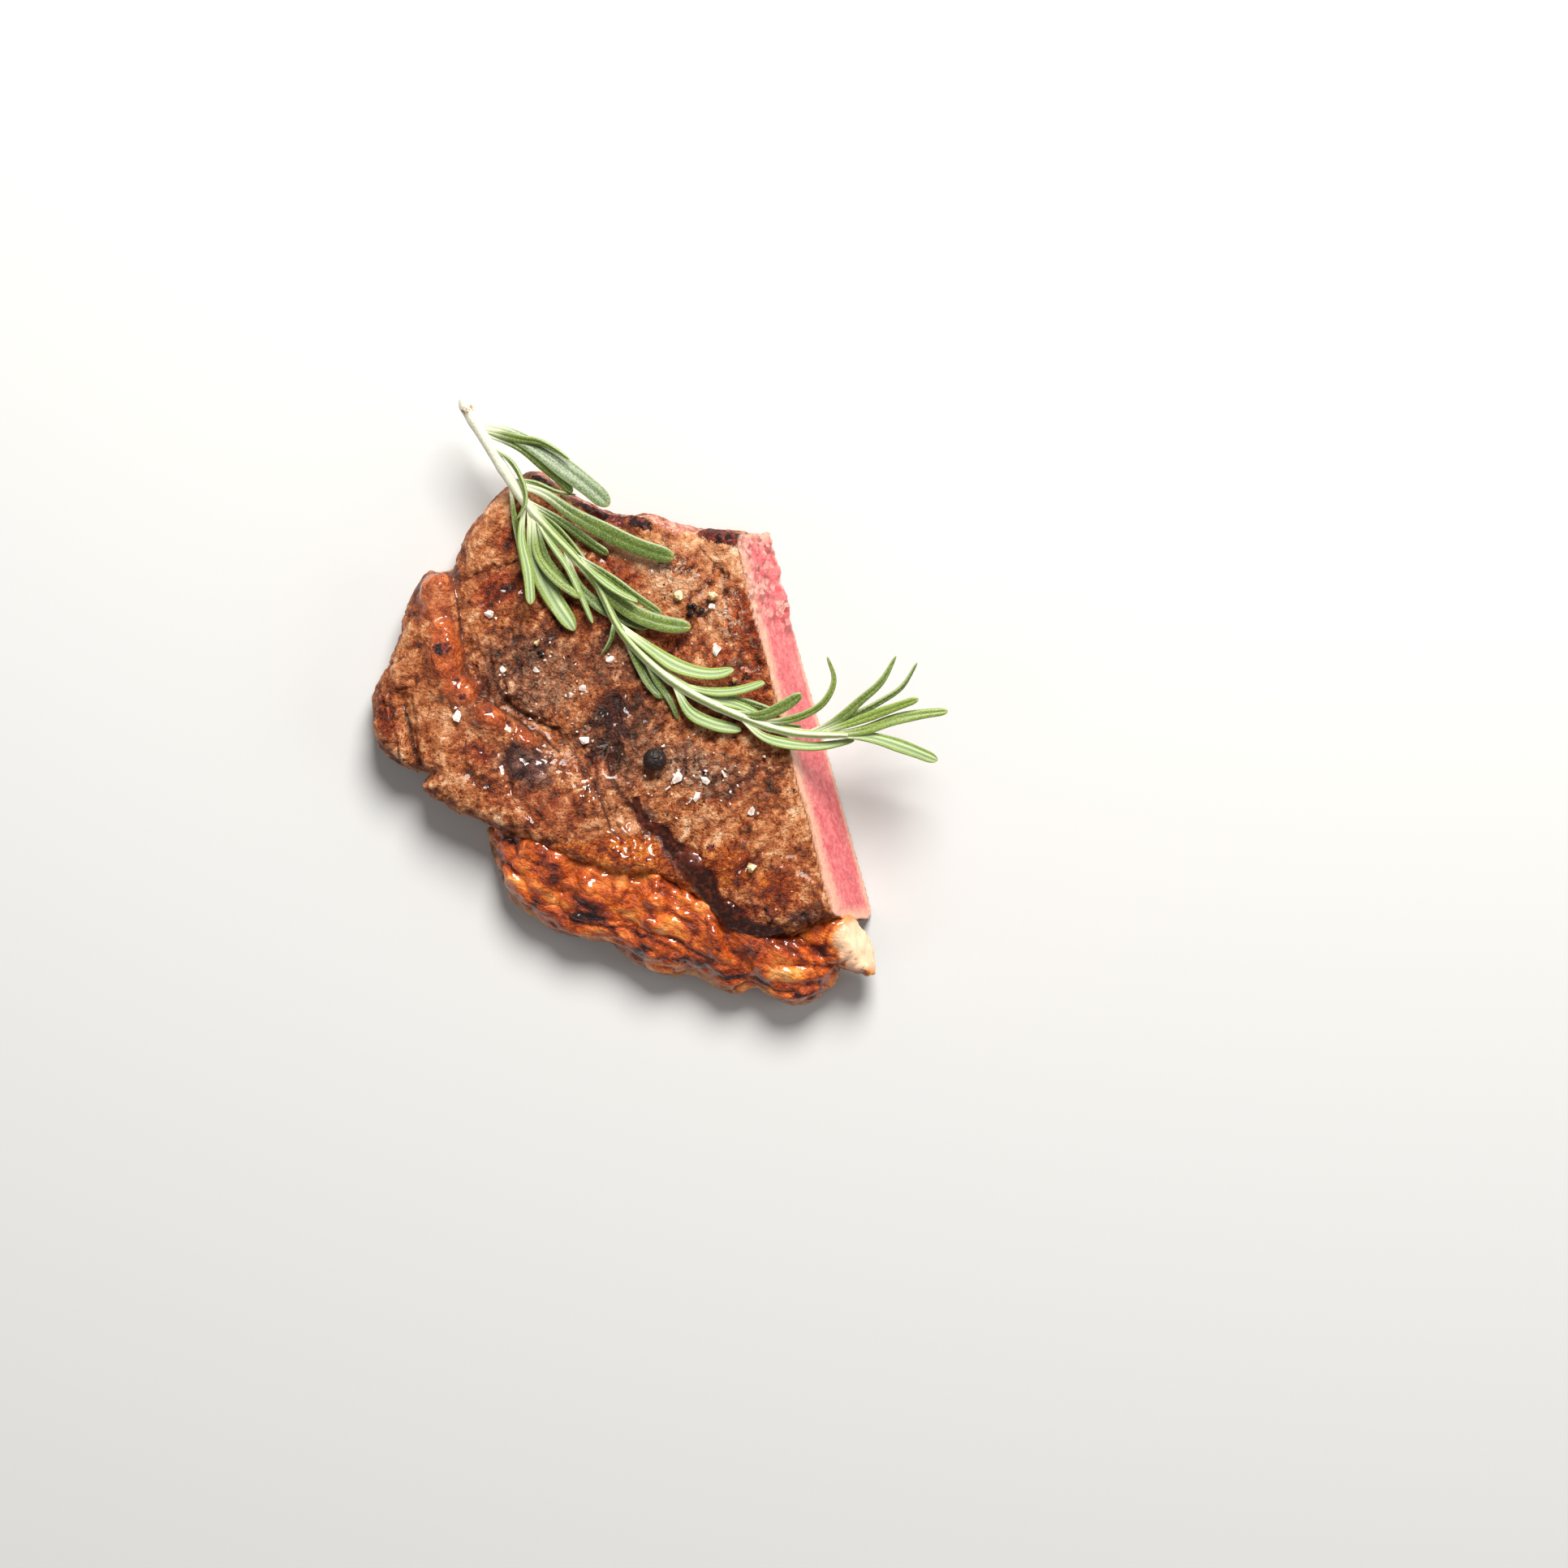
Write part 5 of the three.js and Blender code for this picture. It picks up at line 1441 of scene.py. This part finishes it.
class STEAK_OT_rosemary(bpy.types.Operator):
    """Builds the rosemary stem and its leaves"""

    bl_idname = "steak.rosemary"
    bl_label = "Rosemary"

    def execute(self, context):
        steak = context.scene.steak
        mesh, steps, sides = stem_mesh()
        along = np.repeat(np.linspace(0, 1, steps), sides)
        keep(mesh, "along", np.concatenate([along, (0, 1)]))
        stripes = np.tile(STEM_STRIPES * (sides // len(STEM_STRIPES)), steps)
        keep(mesh, "stripe", np.concatenate([stripes, (0.5, 0.5)]))
        stem = bpy.data.objects.new("rosemary_stem", mesh)
        context.scene.collection.objects.link(stem)
        put(stem, "herb", "rosemary_sprig", material=stem_material(steak.herb))
        leaves = bpy.data.objects.new("rosemary_leaves", leaves_mesh(steak.seasoning.seed))
        context.scene.collection.objects.link(leaves)
        put(leaves, "herb", "rosemary_sprig", material=leaf_material(steak.herb))
        return {"FINISHED"}


# ------------------------------------------------------------------------------ salt and pepper


def hull(corners):
    """Points and faces of the convex shape round some corners."""
    work = bmesh.new()
    for corner in corners:
        work.verts.new(corner)
    found = bmesh.ops.convex_hull(work, input=work.verts[:])
    loose = {v for v in found["geom_interior"] if isinstance(v, bmesh.types.BMVert)}
    loose.update(v for v in found["geom_unused"] if isinstance(v, bmesh.types.BMVert))
    bmesh.ops.delete(work, geom=list(loose), context="VERTS")
    work.verts.index_update()
    points = np.array([v.co for v in work.verts])
    faces = [tuple(v.index for v in face.verts) for face in work.faces]
    work.free()
    return points, faces


def chip(size, chance, flatness, corners=11):
    """A broken crystal or husk: the hull of random points in a flattened ball."""
    cloud_points = []
    while len(cloud_points) < corners:
        point = np.array([chance.uniform(-1, 1) for _ in range(3)])
        if 0.35 < np.linalg.norm(point) < 1:
            cloud_points.append(point * (1, 0.8, flatness) * size / 2)
    spin = Matrix.Rotation(chance.uniform(0, FULL_TURN), 3, "Z")
    turn = spin @ Matrix.Rotation(chance.uniform(-0.4, 0.4), 3, "X")
    points, faces = hull(cloud_points)
    return points @ np.array(turn.transposed()), faces


# Grains keep this far from the plane of the cut.
CUT_MARGIN = 0.8


class Grains:
    """Grains of one kind, gathered into one mesh."""

    def __init__(self):
        self.points = []
        self.faces = []

    def add(self, points, faces, x, y, rise):
        """Sets a grain down on the meat at x, y, unless the knife took the meat away there.

        rise is how far its middle lies over the smooth top. The fine relief isn't followed, so where
        that falls away a grain can be clear of the crust.
        """
        height = top_height(np.array([[x, y]], float))[0]
        if before_cut(np.array([x, y, height])) < CUT_MARGIN:
            return
        base = len(self.points)
        self.points.extend(points + (x, y, height + rise))
        self.faces.extend(tuple(base + i for i in face) for face in faces)

    def piece(self, name):
        """One object with all the grains."""
        made = bpy.data.objects.new(name, mesh_from(name, self.points, self.faces))
        bpy.context.scene.collection.objects.link(made)
        return made


def wrinkled_ball(size, seed):
    """A peppercorn with its net of wrinkles."""
    work = bmesh.new()
    bmesh.ops.create_icosphere(work, subdivisions=5, radius=1)
    points = np.array([v.co for v in work.verts])
    faces = [tuple(v.index for v in face.verts) for face in work.faces]
    work.free()
    net = np.clip(1 - np.abs(cloud(points, 0.55, 2, seed)) * 5, 0, 1)
    return points * (size / 2 * (1 - 0.1 * net + 0.03 * cloud(points, 0.9, 2, seed + 3)))[:, None], faces


def seasoning():
    """All grains by kind, in the same order each time."""
    chance = random.Random(bpy.context.scene.steak.seasoning.seed)
    salt, white, black = Grains(), Grains(), Grains()
    for x, y, size in SALT_FLAKES:
        salt.add(*chip(1.1 * size, chance, flatness=0.28, corners=13), x, y, 0.14 * size)
        for _ in range(2):
            bit = size * chance.uniform(0.25, 0.45)
            crumb = chip(bit, chance, flatness=0.6)
            place = (x + chance.uniform(-1, 1) * size * 0.6, y + chance.uniform(-1, 1) * size * 0.6)
            salt.add(*crumb, *place, 0.2 * bit)
    for x, y, size in WHITE_PEPPER_BITS:
        white.add(*chip(size, chance, flatness=0.85, corners=18), x, y, 0.3 * size)
    for x, y, size in BLACK_PEPPER_BITS:
        for _ in range(8):
            bit = size * chance.uniform(0.25, 0.5)
            crumb = chip(bit, chance, flatness=0.7)
            place = (x + chance.uniform(-0.3, 0.3) * size, y + chance.uniform(-0.3, 0.3) * size)
            black.add(*crumb, *place, 0.25 * bit)
    corn_x, corn_y, corn_size = PEPPERCORN
    black.add(*wrinkled_ball(corn_size, seed=3), corn_x, corn_y, 0.3 * corn_size)
    for x, y, spread, *counts in GRAIN_PATCHES:
        sizes = (SMALL_SALT, SMALL_WHITE_PEPPER, SMALL_BLACK_PEPPER)
        for grains, count, (low, high) in zip((salt, white, black), counts, sizes):
            for _ in range(count):
                angle, reach = chance.uniform(0, 2 * math.pi), spread * math.sqrt(chance.random())
                size = chance.uniform(low, high)
                place = (x + reach * math.cos(angle), y + reach * math.sin(angle))
                grains.add(*chip(size, chance, flatness=0.65, corners=9), *place, 0.22 * size)
    return salt, white, black


# How each kind of grain looks: its piece, its second colour, coat and roughness, by material slot.
GRAIN_LOOKS = {
    "salt": ("salt_flakes", "D2B8A8", 0.5, 0.3),
    "white_pepper": ("white_pepper", "B58B52", 0.2, 0.5),
    "black_pepper": ("black_pepper", "2A1A14", 0.12, 0.6),
}


def grain_material(name, main, other, coat, rough):
    """One kind of grain: its colour varies from grain to grain."""
    paint = Paint(name)
    tint = paint.grain(1.5, 2, 0.6)
    return paint.finish(
        Base_Color=paint.mix(tint.between(0.4, 0.62), main, other),
        Roughness=rough,
        Coat_Weight=coat,
        Normal=paint.bump(paint.grain(0.35, 2, 0.6), 0.08, 0.6),
    )


class STEAK_OT_seasoning(bpy.types.Operator):
    """Scatters salt flakes, cracked pepper and a whole peppercorn over the meat"""

    bl_idname = "steak.seasoning"
    bl_label = "Salt and Pepper"

    def execute(self, context):
        settings = context.scene.steak.seasoning
        for grains, (slot, (name, other, coat, rough)) in zip(seasoning(), GRAIN_LOOKS.items()):
            material = grain_material(slot, getattr(settings, slot), linear(other), coat, rough)
            piece = put(grains.piece(name), slot, "lean_meat", material=material)
            if name != "black_pepper":
                piece.data.shade_flat()
        return {"FINISHED"}


# ------------------------------------------------------------------------------ stage


# Lights that point at the origin: size and place in metres, tint, and whether they glint on wet places.
LIGHTS = {
    "key_light": (0.5, (0.16, 0.62, 0.74), (1.0, 0.985, 0.96), True),
    "fill_light": (0.7, (-0.85, -0.35, 0.5), (0.96, 0.98, 1.0), False),
    "side_light": (0.6, (0.9, -0.1, 0.45), (1.0, 0.99, 0.97), False),
}
SKY_STRENGTH = 0.16
FLOOR_REACH = 3.0
FLOOR_DROP = -0.0002


def soft_light(name, watts, size, place, tint, glints):
    """A round lamp that points at the origin."""
    light = bpy.data.lights.new(name, "AREA")
    light.energy = watts
    light.shape = "DISK"
    light.size = size
    light.color = tint
    lamp = bpy.data.objects.new(name, light)
    lamp.location = place
    lamp.rotation_euler = (-Vector(place)).to_track_quat("-Z", "Y").to_euler()
    lamp.visible_glossy = glints
    bpy.context.scene.collection.objects.link(lamp)


# The photograph's middle, from the tables' middle point, and the height at which its scale holds.
PHOTO_MIDDLE = (29.9, -17.3)
SCALE_HEIGHT = 0.014
SENSOR_WIDTH = 36


class STEAK_OT_stage(bpy.types.Operator):
    """Sets the pale floor, the soft lights and the camera that looks straight down"""

    bl_idname = "steak.stage"
    bl_label = "Stage"

    def execute(self, context):
        settings = context.scene.steak.stage
        scene = context.scene
        floor_mesh = bpy.data.meshes.new("floor")
        signs = ((-1, -1), (1, -1), (1, 1), (-1, 1))
        corners = [(x * FLOOR_REACH, y * FLOOR_REACH, FLOOR_DROP) for x, y in signs]
        floor_mesh.from_pydata(corners, [], [(0, 1, 2, 3)])
        floor = bpy.data.objects.new("floor", floor_mesh)
        scene.collection.objects.link(floor)
        paint = Paint("pale_floor")
        floor_mesh.materials.append(paint.finish(Base_Color=tuple(settings.floor), Roughness=0.7))

        for name, look in LIGHTS.items():
            soft_light(name, getattr(settings, name), *look)
        world = bpy.data.worlds.new("studio")
        world.use_nodes = True
        sky = world.node_tree.nodes["Background"]
        sky.inputs["Color"].default_value = (1, 1, 1, 1)
        sky.inputs["Strength"].default_value = SKY_STRENGTH
        scene.world = world
        scene.view_settings.view_transform = "Standard"

        lens = bpy.data.cameras.new("camera")
        lens.lens = settings.lens
        lens.sensor_width = SENSOR_WIDTH
        camera = bpy.data.objects.new("camera", lens)
        middle = (np.array([*PHOTO_MIDDLE, 0]) + SHIFT) * MM
        distance = settings.frame_width * settings.lens / SENSOR_WIDTH
        camera.location = (middle[0], middle[1], distance + SCALE_HEIGHT)
        scene.collection.objects.link(camera)
        scene.camera = camera
        return {"FINISHED"}


class STEAK_PT_panel(bpy.types.Panel):
    """Lists the steak's pieces and settings"""

    bl_label = "Seared Steak"
    bl_idname = "STEAK_PT_panel"
    bl_space_type = "VIEW_3D"
    bl_region_type = "UI"
    bl_category = "Steak"

    def draw(self, context):
        for operator, group in zip(OPERATORS, ("meat", "fat", "herb", "seasoning", "stage")):
            box = self.layout.box()
            box.operator(operator.bl_idname)
            settings = getattr(context.scene.steak, group)
            for name in settings.__annotations__:
                box.prop(settings, name)


OPERATORS = (
    STEAK_OT_lean_meat, STEAK_OT_fat_cap, STEAK_OT_rosemary, STEAK_OT_seasoning, STEAK_OT_stage,
)
CLASSES = (
    MeatSettings, FatSettings, HerbSettings, SeasoningSettings, StageSettings, SteakSettings,
    *OPERATORS, STEAK_PT_panel,
)


def register():
    for cls in CLASSES:
        bpy.utils.register_class(cls)
    bpy.types.Scene.steak = PointerProperty(type=SteakSettings)


def unregister():
    del bpy.types.Scene.steak
    for cls in reversed(CLASSES):
        bpy.utils.unregister_class(cls)


def main():
    register()
    bpy.ops.steak.lean_meat()
    bpy.ops.steak.fat_cap()
    bpy.ops.steak.rosemary()
    bpy.ops.steak.seasoning()
    bpy.ops.steak.stage()
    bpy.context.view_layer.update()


if __name__ == "__main__":
    main()
